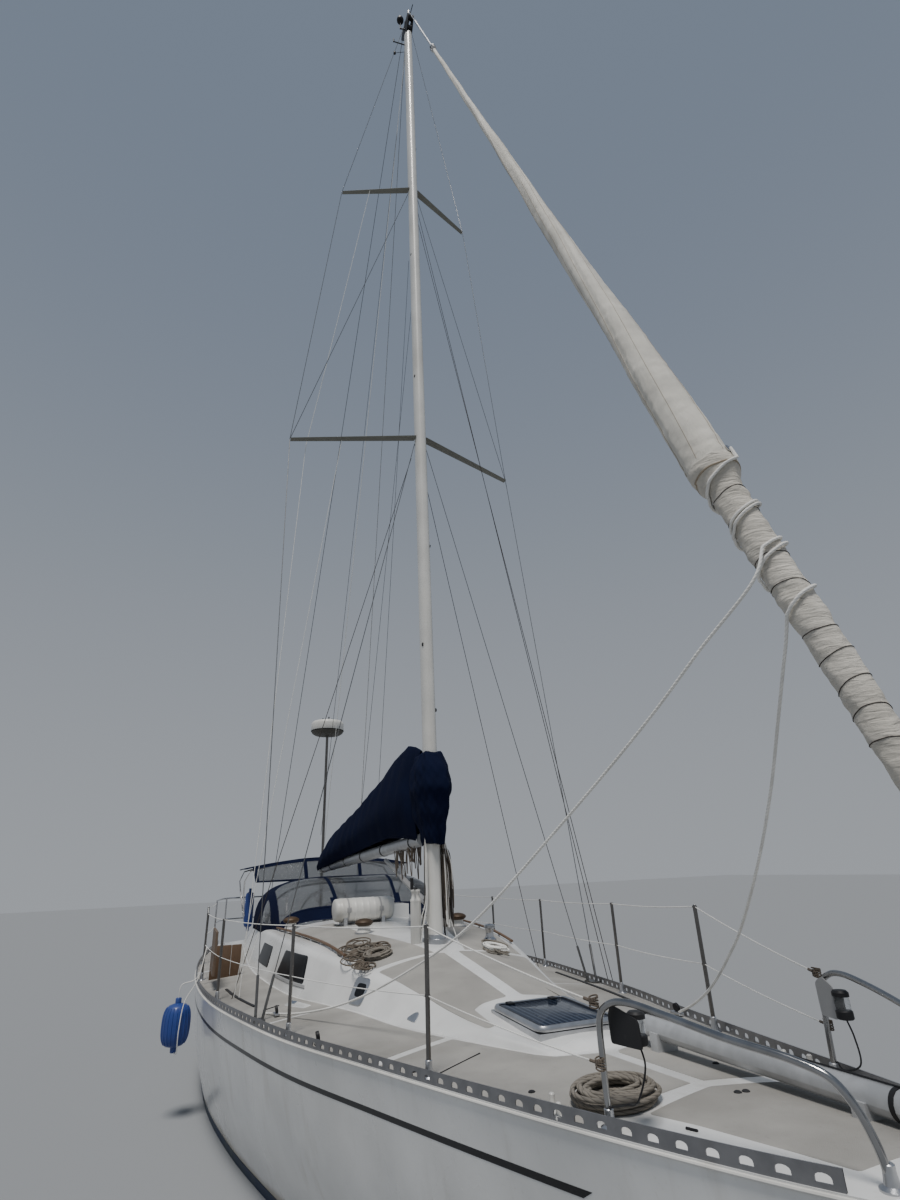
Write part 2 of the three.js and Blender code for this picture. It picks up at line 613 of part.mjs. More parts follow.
add('furler_drum', cut(join(
  rod(onStay(0.008), onStay(0.0115), 92, 14), rod(onStay(0.0105), onStay(0.023), 46, 10),
  rod(onStay(0.022), onStay(0.0255), 92, 14)), rod(onStay(0.004), onStay(0.05), 7, 8)), blackPlastic)

// Boom, sail cover and kicker, swung a little to starboard about the gooseneck

const boomSwing = new THREE.Group()
boomSwing.position.copy(BOOM_HINGE)
boomSwing.rotation.z = BOOM_SWING_AT_REST
yacht.add(boomSwing)
const boomEnd = vec(-BOOM_LENGTH, 0, -BOOM_DROOP)
add('boom', join(
  rod(boomEnd.clone().multiplyScalar(0.015), boomEnd, 62, 14), rod(vec(2, 0, -40), vec(2, 0, 40), 26, 12),
  rod(vec(0, 0, 0), vec(-90, 0, -4), 26, 10)), sparWhite, boomSwing)

const COVER = [
  // distance aft, bottom, top, half width at the bottom, greatest half width
  [60, -20, 850, 62, 80],
  [200, 20, 930, 78, 120],
  [400, 50, 980, 84, 150],
  [800, 90, 911, 96, 160],
  [1240, 80, 782, 96, 150],
  [1830, 55, 658, 96, 145],
  [2640, 20, 519, 90, 130],
  [3400, -10, 392, 84, 105],
  [3800, -20, 262, 76, 90],
  [3935, -30, 170, 66, 76],
]
function coverRing([distance, bottom, top, lowHalf, half]) {
  const axisZ = (-BOOM_DROOP * distance) / BOOM_LENGTH
  const rise = top - bottom
  return [
    [lowHalf, 0], [half, 0.3], [half * 0.8, 0.6], [half * 0.36, 0.9], [0, 1],
    [-half * 0.36, 0.9], [-half * 0.8, 0.6], [-half, 0.3], [-lowHalf, 0],
  ].map(([y, share]) => vec(-distance, y, axisZ + bottom + rise * share))
}
add('sail_cover', cut(loft(COVER.map(coverRing)), rod(vec(0, 0, 0), boomEnd.clone().multiplyScalar(1.1), 63, 14)),
  navyCloth, boomSwing)

const mastRoom = loft([mastRing(1500, -1), mastRing(3500, -1)])
function mastBracket(z, clear) {
  const front = mastX(z)
  const back = BOOM_HINGE.x - 24
  return join(box(front, back, -30, 30, z + clear, z + clear + 14), box(front, back, -30, 30, z - clear - 14, z - clear))
}
const KICKER_DROP = 560
const track = loft([1850, 2640].map((z) => {
  const back = mastX(z) - MAST_LONG / 2 - 12
  return [vec(back, -26, z), vec(back + 40, -26, z), vec(back + 40, 26, z), vec(back, 26, z)]
}))
add('mast_brackets', cut(join(
  mastBracket(BOOM_HINGE.z, 46), mastBracket(BOOM_HINGE.z - KICKER_DROP, 46), track), mastRoom), alloy)

const kickerFoot = vec(-10, 0, -KICKER_DROP)
const kickerHead = boomEnd.clone().multiplyScalar(0.29).add(vec(0, 0, -104))
add('kicker', join(
  rod(kickerFoot, kickerHead, 21, 12), rod(kickerFoot, kickerFoot.clone().lerp(kickerHead, 0.55), 27, 12),
  rod(vec(0, 0, -KICKER_DROP - 40), vec(0, 0, -KICKER_DROP + 40), 22, 12)), alloy, boomSwing)

// The part of the sail cover that wraps the mast
const WRAP = [
  // height, reach forward of the mast's centre, half width
  [2430, 160, 84], [2620, 215, 120], [2830, 260, 156], [2960, 290, 172], [3120, 240, 150], [3240, 150, 110],
]
const wrapRing = ([z, reach, half]) => stations(0, 337.5, 16).map((degree) => {
  const turn = THREE.MathUtils.degToRad(degree)
  return vec(mastX(z) + reach * Math.cos(turn), half * Math.sin(turn), z)
})
add('mast_wrap', cut(
  loft(WRAP.map(wrapRing)), mastRoom, box(-400, mastX(2800) - 60, -300, 300, 2300, 3500)), navyCloth)

// Sprayhood and bimini

function archRing(x, half, footZ, topZ, inset = 0) {
  const ring = []
  for (const degree of stations(0, 180, 13)) {
    const turn = THREE.MathUtils.degToRad(degree)
    const wide = Math.sign(Math.cos(turn)) * Math.abs(Math.cos(turn)) ** 0.45
    ring.push(vec(x, (half - inset) * wide, footZ + (topZ - inset - footZ) * Math.sin(turn) ** 0.6))
  }
  return ring
}
const HOOD_SKIN = 16
function hood(inset) {
  const low = 1500
  return loft([
    archRing(-2330 - inset * 2, 1020, low, 1720 - inset, inset),
    archRing(-2660, 1090, low, 1985, inset),
    archRing(-3060, 1150, low, 2150, inset),
    archRing(-3560, 1170, low, 2160, inset),
    archRing(-3920 - inset * 4, 1180, low, 2130, inset),
  ])
}
const coamings = [raised(coaming, GAP), raised(mirrored(coaming), GAP)]
const hatchRoom = box(-4200, -2040, -GARAGE.half - 1, GARAGE.half + 1, 1500, GARAGE.topZ + 1)
add('sprayhood', cut(hood(0), hood(HOOD_SKIN), roofGap, ...coamings,
  box(-4200, -3380, -1080, 1080, 1300, 1640), raised(whole, GAP), hatchRoom), navyCloth)

const BIMINI = { aftX: -6000, frontX: -4720, half: 1260, topZ: 2440, fall: 130, skin: 18 }
function biminiSheet() {
  const arch = (lift) => stations(-BIMINI.half, BIMINI.half, 9).map((y) => (
    new THREE.Vector2(BIMINI.topZ - BIMINI.fall * (y / BIMINI.half) ** 2 + lift, y)))
  const section = new THREE.Shape([...arch(0), ...arch(-BIMINI.skin).reverse()])
  return new THREE.ExtrudeGeometry(section, { depth: BIMINI.frontX - BIMINI.aftX, steps: 1, bevelEnabled: false })
    .rotateY(-Math.PI / 2).translate(BIMINI.frontX, 0, 0)
}
const backstaySlots = [1, -1].map((sign) => {
  const at = backstayFoot(sign).lerp(backstayHead, 0.0745)
  return box(at.x - 60, at.x + 60, at.y - 30, at.y + 30, 2200, 2600)
})
add('bimini', cut(biminiSheet(), ...backstaySlots), navyCloth)

function biminiBow(x, topZ, footX) {
  const side = (sign) => [vec(footX, sign * 1165, 1500), vec((x + footX * 2) / 3, sign * 1230, 1850)]
  return tube([
    ...side(1), vec(x, 1235, topZ - 170), vec(x, 1120, topZ - 118), vec(x, 600, topZ - 34), vec(x, 0, topZ),
    vec(x, -600, topZ - 34), vec(x, -1120, topZ - 118), vec(x, -1235, topZ - 170), ...side(-1).reverse(),
  ], 11, 6, 22)
}
const biminiFrame = join(biminiBow(-4800, BIMINI.topZ - 30, -5380), biminiBow(-5950, BIMINI.topZ - 30, -5388))
add('bimini_frame', cut(biminiFrame, ...coamings, raised(biminiSheet(), -GAP)), steel)

// Radar pole

const POLE = { x: -6130, y: 130, topZ: 4660 }
add('radar_pole', onDeck(join(
  rod(vec(POLE.x, POLE.y, deckZ(POLE.x, POLE.y) + 2), vec(POLE.x, POLE.y, POLE.topZ), 25, 12),
  pad(POLE.x, POLE.y, deckZ(POLE.x, POLE.y) + 2, 60, 14), pad(POLE.x, POLE.y, POLE.topZ - 4, 90, 14))), steel)
const domeProfile = [[0, 0], [235, 0], [292, 30], [306, 80], [300, 140], [262, 196], [150, 232], [0, 240]]
add('radome', new THREE.LatheGeometry(domeProfile.map(([r, z]) => new THREE.Vector2(r, z)), 24)
  .rotateX(Math.PI / 2).translate(POLE.x, POLE.y, POLE.topZ + 11), whitePlastic)

// Deck gear

function winch(x, y, z, radius, height) {
  const profile = [
    [0, 0], [radius * 1.25, 0], [radius * 1.15, height * 0.16], [radius, height * 0.24],
    [radius * 0.86, height * 0.55], [radius, height * 0.8], [radius * 1.1, height * 0.86],
    [radius * 1.06, height], [0, height],
  ]
  return new THREE.LatheGeometry(profile.map(([r, h]) => new THREE.Vector2(r, h)), 16)
    .rotateX(Math.PI / 2).translate(x, y, z)
}
for (const [side, sign] of [['port', 1], ['starboard', -1]]) {
  add(`primary_winch_${side}`, cut(winch(-4300, sign * 1000, 1500, 72, 210), raised(coaming, GAP),
    raised(mirrored(coaming), GAP)), alloy)
}

const MAST_POST = { x: -20, y: -172 }
add('mast_winch_post', cut(join(
  rod(vec(MAST_POST.x, MAST_POST.y, 1560), vec(MAST_POST.x, MAST_POST.y, 1960), 48, 14),
  winch(MAST_POST.x, MAST_POST.y, 1958, 40, 96)), roofGap), sparWhite)

const CANISTER = { x: -1700, fromY: -600, toY: 120, z: 1872, radius: 160 }
add('liferaft_canister', join(
  rod(vec(CANISTER.x, CANISTER.fromY, CANISTER.z), vec(CANISTER.x, CANISTER.toY, CANISTER.z), CANISTER.radius, 20),
  rod(vec(CANISTER.x, CANISTER.fromY - 26, CANISTER.z), vec(CANISTER.x, CANISTER.toY + 26, CANISTER.z), CANISTER.radius - 34, 20)),
whitePlastic)
add('canister_cradle', cut(join(
  box(CANISTER.x - 120, CANISTER.x + 120, -470, -430, 1600, CANISTER.z - 90),
  box(CANISTER.x - 120, CANISTER.x + 120, -50, -10, 1600, CANISTER.z - 90),
  box(CANISTER.x - 120, CANISTER.x - 90, -470, -10, 1600, 1730)), roofGap,
rod(vec(CANISTER.x, -700, CANISTER.z), vec(CANISTER.x, 300, CANISTER.z), CANISTER.radius + 1, 20)), steel)

const POLE_BOOM = { from: vec(2480, 262, 1418), to: vec(4130, 192, 1441), radius: 50 }
const onPole = (share) => POLE_BOOM.from.clone().lerp(POLE_BOOM.to, share)
const chocks = [0.14, 0.86].map(onPole).map((at) => box(at.x - 30, at.x + 30, at.y - 60, at.y + 60, 1300, at.z - 10))
add('spinnaker_pole', cut(join(
  rod(onPole(0), onPole(1), POLE_BOOM.radius, 14), rod(onPole(-0.04), onPole(0.01), 24, 10),
  rod(onPole(0.99), onPole(1.05), 24, 10), ...chocks), raised(whole, GAP)), alloy)

function fender(radius, length) {
  const half = length / 2
  const profile = [
    [0, -half - 60], [24, -half - 58], [26, -half - 20], [radius * 0.66, -half + 20], [radius * 0.94, -half + 90],
    [radius, -half + 160], [radius, half - 160], [radius * 0.94, half - 90], [radius * 0.66, half - 20],
    [26, half + 20], [24, half + 58], [0, half + 60],
  ]
  return new THREE.LatheGeometry(profile.map(([r, h]) => new THREE.Vector2(r, h)), 12).rotateX(Math.PI / 2)
}
add('fender_hanging', fender(135, 560).translate(-2350, -2040, 800), blueVinyl)
add('fender_stowed', fender(68, 480).translate(-5320, -1010, 1790), navyCloth)

const BOARD = { x: -2060, length: 620 }
add('rail_board', box(BOARD.x - BOARD.length / 2, BOARD.x + BOARD.length / 2, -1760, -1735, 1300, 1700), teak)

// Wheel, pedestal and rudder

const wheelSpin = new THREE.Group()
wheelSpin.position.copy(WHEEL_AT)
wheelSpin.rotation.y = WHEEL_LEAN
yacht.add(wheelSpin)
const rim = new THREE.TorusGeometry(WHEEL_RADIUS, 12, 6, 28).rotateY(Math.PI / 2)
const spokes = stations(0, 300, 6).map((degree) => {
  const turn = THREE.MathUtils.degToRad(degree)
  const out = vec(0, Math.cos(turn), Math.sin(turn))
  return rod(out.clone().multiplyScalar(20), out.clone().multiplyScalar(WHEEL_RADIUS), 6, 6)
})
add('steering_wheel', join(rim, ...spokes, rod(vec(-22, 0, 0), vec(48, 0, 0), 36, 12)), steel, wheelSpin)

add('wheel_pedestal', join(
  loft([
    [vec(-4900, -95, SOLE_Z + 1), vec(-4700, -95, SOLE_Z + 1), vec(-4700, 95, SOLE_Z + 1), vec(-4900, 95, SOLE_Z + 1)],
    [vec(-4890, -75, 1640), vec(-4730, -75, 1640), vec(-4730, 75, 1640), vec(-4890, 75, 1640)],
  ]),
  rod(vec(-4810, 0, 1630), vec(-4810, 0, 1730), 80, 16)), whitePlastic)
add('pedestal_guard', tube([
  vec(-4640, -150, SOLE_Z + 1), vec(-4640, -150, 1500), vec(-4650, -120, 1730), vec(-4660, 0, 1790),
  vec(-4650, 120, 1730), vec(-4640, 150, 1500), vec(-4640, 150, SOLE_Z + 1),
], 13, 6, 18), steel)

function foilRing(leadX, chord, thickness, y0, z) {
  // A symmetric foil section: round nose, straight run to a thin tail.
  const shape = [[0, 0], [0.03, 0.55], [0.12, 0.85], [0.32, 1], [0.65, 0.66], [1, 0.06]]
  const upper = shape.map(([along, thick]) => vec(leadX - chord * along, y0 + (thickness / 2) * thick, z))
  const under = shape.slice(1).reverse().map(([along, thick]) => vec(leadX - chord * along, y0 - (thickness / 2) * thick, z))
  return [...upper, ...under]
}
const keelFin = loft([
  foilRing(180, 1760, 190, 0, -440), foilRing(60, 1560, 165, 0, -900), foilRing(-120, 1300, 150, 0, -1790),
])
const bulbRings = [
  // x, half width, half height
  [300, 30, 24], [200, 110, 76], [-60, 178, 112], [-500, 205, 120], [-1000, 190, 112], [-1400, 120, 76], [-1650, 22, 18],
].map(([x, wide, high]) => [0, 36, 72, 108, 144, 180, 216, 252, 288, 324].map((degree) => {
  const turn = THREE.MathUtils.degToRad(degree + 18)
  return vec(x, wide * Math.cos(turn), -1860 + Math.max(-90, high * Math.sin(turn)))
}))
add('keel', cut(join(keelFin, loft(bulbRings)), raised(whole, -GAP)), antifouling)

add('rudder', join(
  loft([
    foilRing(STOCK_X + 105, 620, 92, 0, -205), foilRing(STOCK_X + 90, 560, 84, 0, -900),
    foilRing(STOCK_X + 62, 430, 64, 0, -1560), foilRing(STOCK_X + 30, 300, 40, 0, -1640),
  ]),
  rod(vec(STOCK_X, 0, -300), vec(STOCK_X, 0, 225), 29, 12)), antifouling)

const blade = (() => {
  const outline = new THREE.Shape()
  outline.absellipse(0, PROPELLER_RADIUS - 100, 66, 100, 0, 2 * Math.PI)
  return new THREE.ExtrudeGeometry(outline, { depth: 9, steps: 1, curveSegments: 8, bevelEnabled: false })
    .translate(0, 0, -4.5).rotateY(THREE.MathUtils.degToRad(90 - 32))
})()
const blades = [0, 120, 240].map((degree) => blade.clone().rotateX(THREE.MathUtils.degToRad(degree)))
const propellerSpin = new THREE.Group()
propellerSpin.position.copy(PROPELLER_AT)
propellerSpin.rotation.y = -SHAFT_SLOPE
yacht.add(propellerSpin)
add('propeller', join(
  ...blades, rod(vec(-60, 0, 0), vec(55, 0, 0), 34, 14, 40), rod(vec(-110, 0, 0), vec(-60, 0, 0), 10, 14, 34),
  rod(vec(40, 0, 0), vec(1700, 0, 0), 15, 12)), bronze, propellerSpin)

const bracketAt = shaftAt(150)
add('shaft_bracket', cut(join(
  rod(shaftAt(105), shaftAt(195), 34, 14),
  loft([foilRing(bracketAt.x + 38, 76, 22, 0, bracketAt.z + 12), foilRing(bracketAt.x + 48, 92, 26, 0, -250)])),
rod(shaftAt(0), shaftAt(400), 21, 14), raised(whole, -GAP)), bronze)

// Ropes that lie or hang free: the slack port sheet and three coils

const SHEET_ROUTE = [
  [4295, -75, 3089], [4244, -51, 3006], [4167, -16, 2905], [4044, 41, 2745], [3835, 138, 2480],
  [3551, 269, 2188], [3197, 432, 1894], [2996, 525, 1768], [2774, 627, 1640], [2538, 736, 1524],
  [2198, 893, 1392], [1847, 1055, 1281],
].map(([x, y, z]) => vec(x, y, z))
add('port_sheet', tube(SHEET_ROUTE, 7, 8, 76), whiteRope)

function coil(x, y, z, outer, inner, height, lean = [0, 0]) {
  const profile = [[inner, 0], [outer, 0], [outer, height], [inner, height], [inner, 0]]
  return new THREE.LatheGeometry(profile.map(([r, h]) => new THREE.Vector2(r, h)), 20)
    .rotateX(Math.PI / 2).rotateX(lean[0]).rotateY(lean[1]).translate(x, y, z)
}
function leanOf(height, x, y) {
  const step = 100
  const fall = (height(x + step, y) - height(x - step, y)) / (2 * step)
  const side = (height(x, y + step) - height(x, y - step)) / (2 * step)
  return [Math.atan(side), -Math.atan(fall)]
}
add('foredeck_coil', coil(3240, -420, deckZ(3240, -420) + 3, 192, 80, 92, leanOf(deckZ, 3240, -420)), rope)
add('roof_coil_starboard', coil(120, -560, roofTop(120, 560) + 3, 130, 50, 66, leanOf(roofTop, 120, -560)), rope)
add('roof_coil_port', coil(330, 430, roofTop(330, 430) + 3, 120, 46, 60, leanOf(roofTop, 330, 430)), whiteRope)

export default yacht
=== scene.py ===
"""A sailing yacht afloat, with her mainsail under its cover and her genoa furled, dressed round its CAD
frame. Metres, +X to the bow, +Y to port, +Z up, the water surface at z = 0. Each new surface is worked out
with numpy from the formula that its function states, and the sizes named here repeat those of the part's
source."""
import math

import bmesh
import bpy
import numpy as np
from bpy.props import FloatProperty, FloatVectorProperty, IntProperty, PointerProperty
from mathutils import Matrix, Vector


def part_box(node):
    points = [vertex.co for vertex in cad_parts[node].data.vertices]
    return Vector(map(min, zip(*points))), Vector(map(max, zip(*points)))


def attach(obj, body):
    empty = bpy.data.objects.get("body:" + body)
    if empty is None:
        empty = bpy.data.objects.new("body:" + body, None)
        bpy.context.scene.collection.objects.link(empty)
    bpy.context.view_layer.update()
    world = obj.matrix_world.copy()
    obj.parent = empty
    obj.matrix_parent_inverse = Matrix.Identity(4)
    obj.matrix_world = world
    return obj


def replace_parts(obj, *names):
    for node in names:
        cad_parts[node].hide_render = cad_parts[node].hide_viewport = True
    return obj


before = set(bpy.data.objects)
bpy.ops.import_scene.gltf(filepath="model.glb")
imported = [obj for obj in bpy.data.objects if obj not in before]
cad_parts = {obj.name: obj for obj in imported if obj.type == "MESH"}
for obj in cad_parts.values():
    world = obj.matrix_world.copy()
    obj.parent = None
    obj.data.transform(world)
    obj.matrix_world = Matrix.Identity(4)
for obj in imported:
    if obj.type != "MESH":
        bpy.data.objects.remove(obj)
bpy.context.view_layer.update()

bl_info = {
    "name": "Sailing Yacht",
    "version": (1, 0, 0),
    "blender": (4, 5, 0),
    "location": "View3D > Sidebar > Yacht",
    "description": "Dresses the CAD frame of a moored cruising yacht",
    "category": "Object",
}

# Sizes that repeat the part's source, in metres. Hull rows: x, keel, bilge height, bilge half, deck half.
HULL_LINES = np.array([
    [4.95, 1.325, 1.375, 0.012, 0.02], [4.75, 0.9, 1.06, 0.052, 0.128], [4.45, 0.15, 0.45, 0.092, 0.268],
    [4.05, -0.17, 0.24, 0.16, 0.436], [3.44, -0.3, 0.19, 0.296, 0.64], [2.7, -0.39, 0.17, 0.52, 0.86],
    [1.9, -0.46, 0.16, 0.77, 1.09], [0.9, -0.52, 0.15, 1.05, 1.385], [-0.1, -0.56, 0.15, 1.3, 1.6],
    [-1.2, -0.57, 0.15, 1.53, 1.785], [-2.4, -0.54, 0.15, 1.68, 1.87], [-3.6, -0.45, 0.15, 1.705, 1.86],
    [-4.7, -0.31, 0.17, 1.62, 1.765], [-5.6, -0.14, 0.21, 1.48, 1.625], [-6.55, 0.09, 0.3, 1.25, 1.43],
])
# Coachroof rows: x, half at the foot, half at the edge, height of the edge, height of the crown.
ROOF_LINES = np.array([
    [2.54, 0.27, 0.24, 1.29, 1.312], [2.43, 0.31, 0.29, 1.334, 1.356], [2.05, 0.44, 0.4, 1.347, 1.38],
    [1.6, 0.59, 0.44, 1.362, 1.42], [1.2, 0.7, 0.5, 1.402, 1.474], [0.5, 0.82, 0.69, 1.482, 1.566],
    [0.0, 0.945, 0.83, 1.523, 1.63], [-0.74, 1.13, 1.01, 1.575, 1.672], [-2.2, 1.25, 1.12, 1.605, 1.716],
    [-3.4, 1.27, 1.15, 1.615, 1.736],
])
CAMBER = 0.05
BOOT_Z = 0.07
STEM_X, STERN_X = 4.95, -6.55
TRANSOM_X = -6.33
TRANSOM_RAKE = math.radians(14)
ROOF_AFT_X = -3.4
COCKPIT_AFT_X = -5.85
SOLE_AFT_X = -5.45
SEAT_Z, SEAT_HALF = 1.02, 0.86
SOLE_Z, SOLE_HALF = 0.6, 0.36
WAY_HALF, WAY_FORWARD_X, WAY_FLOOR_Z, SILL_Z = 0.31, -2.72, 0.9, 1.35
COAMING_INNER = 0.9
HATCH_X = (1.71, 2.33)
GARAGE_HALF, GARAGE_TOP = 0.42, 1.842
HATCH_HALF, HATCH_SEAT_Z, HATCH_FALL = 0.262, 1.362, 0.035
HATCH_HOLE = ((HATCH_X[0] + 0.05, -HATCH_HALF + 0.05, 1.12), (HATCH_X[1] - 0.05, HATCH_HALF - 0.05, 1.86))
MAST_FOOT_Z, MASTHEAD_Z = 1.634, 16.76
CRANE_Z = 16.26
MAST_LONG, MAST_WIDE = 0.185, 0.13
MAST_RAKE = math.tan(math.radians(1.23))
STAY_FOOT = np.array([4.85, 0.0, 1.5])
BOOM_HINGE = np.array([-0.225, 0.0, 2.49])
BOOM_SWING = math.radians(3.6)
BOOM_LENGTH, BOOM_DROOP = 3.9, 0.215
RAIL_HEIGHT = 0.056
STANCHION_HEIGHT, STANCHION_INSET = 0.68, 0.058
STANCHION_XS = (2.35, 0.77, -1.19, -2.7, -4.15)
CANISTER = {"x": -1.7, "from": -0.6, "to": 0.12, "z": 1.872, "radius": 0.16}
POLE_FROM, POLE_TO, POLE_RADIUS = np.array([2.48, 0.262, 1.418]), np.array([4.13, 0.192, 1.441]), 0.05
MAST_POST = (-0.02, -0.172)
BIMINI = {"aft": -6.0, "front": -4.72, "half": 1.26, "top": 2.44, "fall": 0.13}
ROLL = np.array([
    [0.045, 0.034], [0.06, 0.058], [0.107, 0.066], [0.15, 0.076], [0.158, 0.112], [0.2, 0.104],
        [0.27, 0.084],
    [0.4, 0.058], [0.48, 0.05], [0.55, 0.04], [0.7, 0.029], [0.79, 0.024],
])
COVER = np.array([
    # distance aft of the hinge, bottom, top, half width at the bottom, greatest half width
    [0.05, -0.02, 0.85, 0.062, 0.08],
    [0.2, 0.02, 0.93, 0.078, 0.12], [0.4, 0.05, 0.98, 0.084, 0.15], [0.8, 0.09, 0.911, 0.096, 0.16],
    [1.24, 0.08, 0.782, 0.096, 0.15], [1.83, 0.055, 0.658, 0.096, 0.145], [2.64, 0.02, 0.519, 0.09, 0.13],
    [3.4, -0.01, 0.392, 0.084, 0.105], [3.8, -0.02, 0.262, 0.076, 0.09], [3.935, -0.03, 0.17, 0.066, 0.076],
])
WRAP = np.array([
    # height, reach forward of the mast's centre, half width
    [2.43, 0.16, 0.084], [2.62, 0.215, 0.12], [2.83, 0.26, 0.156], [2.96, 0.29, 0.172], [3.12, 0.24, 0.15],
    [3.24, 0.15, 0.11],
])
CLEW = 0.1625
SHEET_ROUTE = np.array([[4.295, -0.075, 3.089], [4.244, -0.051, 3.006], [4.167, -0.016, 2.905],
    [4.044, 0.041, 2.745], [3.835, 0.138, 2.48], [3.551, 0.269, 2.188], [3.197, 0.432, 1.894],
    [2.996, 0.525, 1.768], [2.774, 0.627, 1.64], [2.538, 0.736, 1.524], [2.198, 0.893, 1.392],
    [1.847, 1.055, 1.281]])
STARBOARD_SHEET = np.array([
    [4.27, -0.08, 3.4], [4.245, -0.13, 3.27], [3.948, -0.204, 3.047], [3.625, -0.262, 2.82],
        [2.991, -0.402, 2.405],
    [2.175, -0.607, 1.898], [1.535, -0.8, 1.61], [0.917, -0.999, 1.394], [0.348, -1.216, 1.266],
    [-0.082, -1.41, 1.216],
])
SHEET_DIAMETER = 0.014
STRAND_DEPTH = 0.16
PANEL_LIFT, PANEL_EDGE = 0.0016, 0.004
CLOTH, SCREEN = 0.003, 0.002
CAD_SHARP = 28
RADOME = (-6.13, 0.13, 4.622)
FENDER_SHARE = 0.72
COILS = {
    # x, y, middle of the turns, rope diameter, layers
    "foredeck_coil": (3.24, -0.42, 0.136, 0.018, 3),
    "roof_coil_starboard": (0.12, -0.56, 0.089, 0.012, 3),
    "roof_coil_port": (0.33, 0.43, 0.082, 0.012, 3),
}


def row(table, x):
    """Rows of a table whose first column falls, joined by cubics whose slopes are those between a row's
    neighbours."""
    x = np.asarray(x, float)
    xs = table[:, 0]
    step = np.diff(table, axis=0)
    slope = np.empty_like(table)
    slope[1:-1] = (table[2:] - table[:-2]) / (table[2:, :1] - table[:-2, :1])
    slope[0], slope[-1] = step[0] / step[0, 0], step[-1] / step[-1, 0]
    k = np.clip(np.searchsorted(-xs, -x, "left") - 1, 0, len(xs) - 2)
    run = (xs[k + 1] - xs[k])[..., None]
    t = (x - xs[k])[..., None] / run
    return ((2 * t**3 - 3 * t**2 + 1) * table[k] + (t**3 - 2 * t**2 + t) * run * slope[k]
            + (3 * t**2 - 2 * t**3) * table[k + 1] + (t**3 - t**2) * run * slope[k + 1])


def sheer(x):
    """The height of the deck edge: a parabola along the hull."""
    return 1.19 + 0.025 * x + 0.0042 * x * x


def deck_half(x):
    """Half the deck's width at each x, from the hull's table."""
    return row(HULL_LINES, x)[..., 4]


def deck_z(x, y):
    """The deck's height: the sheer plus a parabola of camber across."""
    half = deck_half(x)
    return sheer(x) + CAMBER * half * (1 - (y / half) ** 2)


def roof_z(x, y):
    """The coachroof's top: its edge plus a parabola up to its crown."""
    lines = row(ROOF_LINES, x)
    share = np.minimum(1, np.abs(y) / lines[..., 2])
    return lines[..., 3] + (lines[..., 4] - lines[..., 3]) * (1 - share**2)


def mast_x(z):
    """How far aft of its foot the raked mast's axis stands at that height."""
    return -(z - MAST_FOOT_Z) * MAST_RAKE


def unit(v):
    """Vectors divided by their lengths."""
    return v / np.maximum(np.linalg.norm(v, axis=-1, keepdims=True), 1e-12)


def turned(points, axis, angle):
    """Points turned about a line through the origin, by the rotation matrix of that axis."""
    return np.asarray(points, float) @ np.array(Matrix.Rotation(angle, 3, axis)).T


def on_boom(points):
    """Places beside the boom's hinge, carried round with its swing at rest."""
    return turned(points, "Z", BOOM_SWING) + BOOM_HINGE


def on_stay(share):
    """A point at that share of the forestay from its foot to the masthead."""
    head = np.array([mast_x(MASTHEAD_Z) + 0.156, 0, MASTHEAD_Z - 0.07])
    return STAY_FOOT + np.asarray(share, float)[..., None] * (head - STAY_FOOT)


def on_hatch(points):
    """Places in the foredeck hatch's own frame, tilted with the deck and set on its seat."""
    middle = np.array([sum(HATCH_X) / 2, 0, HATCH_SEAT_Z + 0.034])
    return turned(points, "Y", math.atan(HATCH_FALL)) + middle


def evenly(points, count):
    """Count points evenly spaced along a broken line."""
    run = np.concatenate([[0], np.cumsum(np.linalg.norm(np.diff(points, axis=0), axis=1))])
    at = np.linspace(0, run[-1], count)
    return np.stack([np.interp(at, run, points[:, k]) for k in range(3)], -1)


def through(points, count):
    """Count points on the centripetal Catmull-Rom curve through the given ones."""
    p = np.asarray(points, float)
    p = np.vstack([2 * p[0] - p[1], p, 2 * p[-1] - p[-2]])
    gap = np.maximum(np.linalg.norm(np.diff(p, axis=0), axis=1), 1e-9)[:, None] ** 0.5
    a, b, c = gap[:-2], gap[1:-1], gap[2:]
    p0, p1, p2, p3 = p[:-3], p[1:-2], p[2:-1], p[3:]
    out = ((p1 - p0) / a - (p2 - p0) / (a + b) + (p2 - p1) / b) * b
    into = ((p2 - p1) / b - (p3 - p1) / (b + c) + (p3 - p2) / c) * b
    t = np.linspace(0, 1, 32, endpoint=False)[None, :, None]
    fine = ((2 * t**3 - 3 * t**2 + 1) * p1[:, None] + (t**3 - 2 * t**2 + t) * out[:, None]
            + (3 * t**2 - 2 * t**3) * p2[:, None] + (t**3 - t**2) * into[:, None])
    return evenly(np.vstack([fine.reshape(-1, 3), p[-2]]), count)


def smooth(control, count):
    """A uniform Catmull-Rom curve through control[:, k], sampled at count even steps of k."""
    last = control.shape[1] - 1
    t = np.linspace(0, last, count)
    k = np.minimum(t.astype(int), last - 1)
    f = (t - k)[None, :, None]
    padded = np.concatenate([2 * control[:, :1] - control[:, 1:2], control, 2 * control[:, -1:]
        - control[:, -2:-1]], 1)
    p0, p1, p2, p3 = (padded[:, k + n] for n in range(4))
    return 0.5 * (2 * p1 + (p2 - p0) * f + (2 * p0 - 5 * p1 + 4 * p2 - p3) * f**2
                  + (3 * p1 - p0 - 3 * p2 + p3) * f**3)


def length_of(path):
    """The sum of the lengths of a path's steps."""
    return float(np.linalg.norm(np.diff(path, axis=0), axis=1).sum())


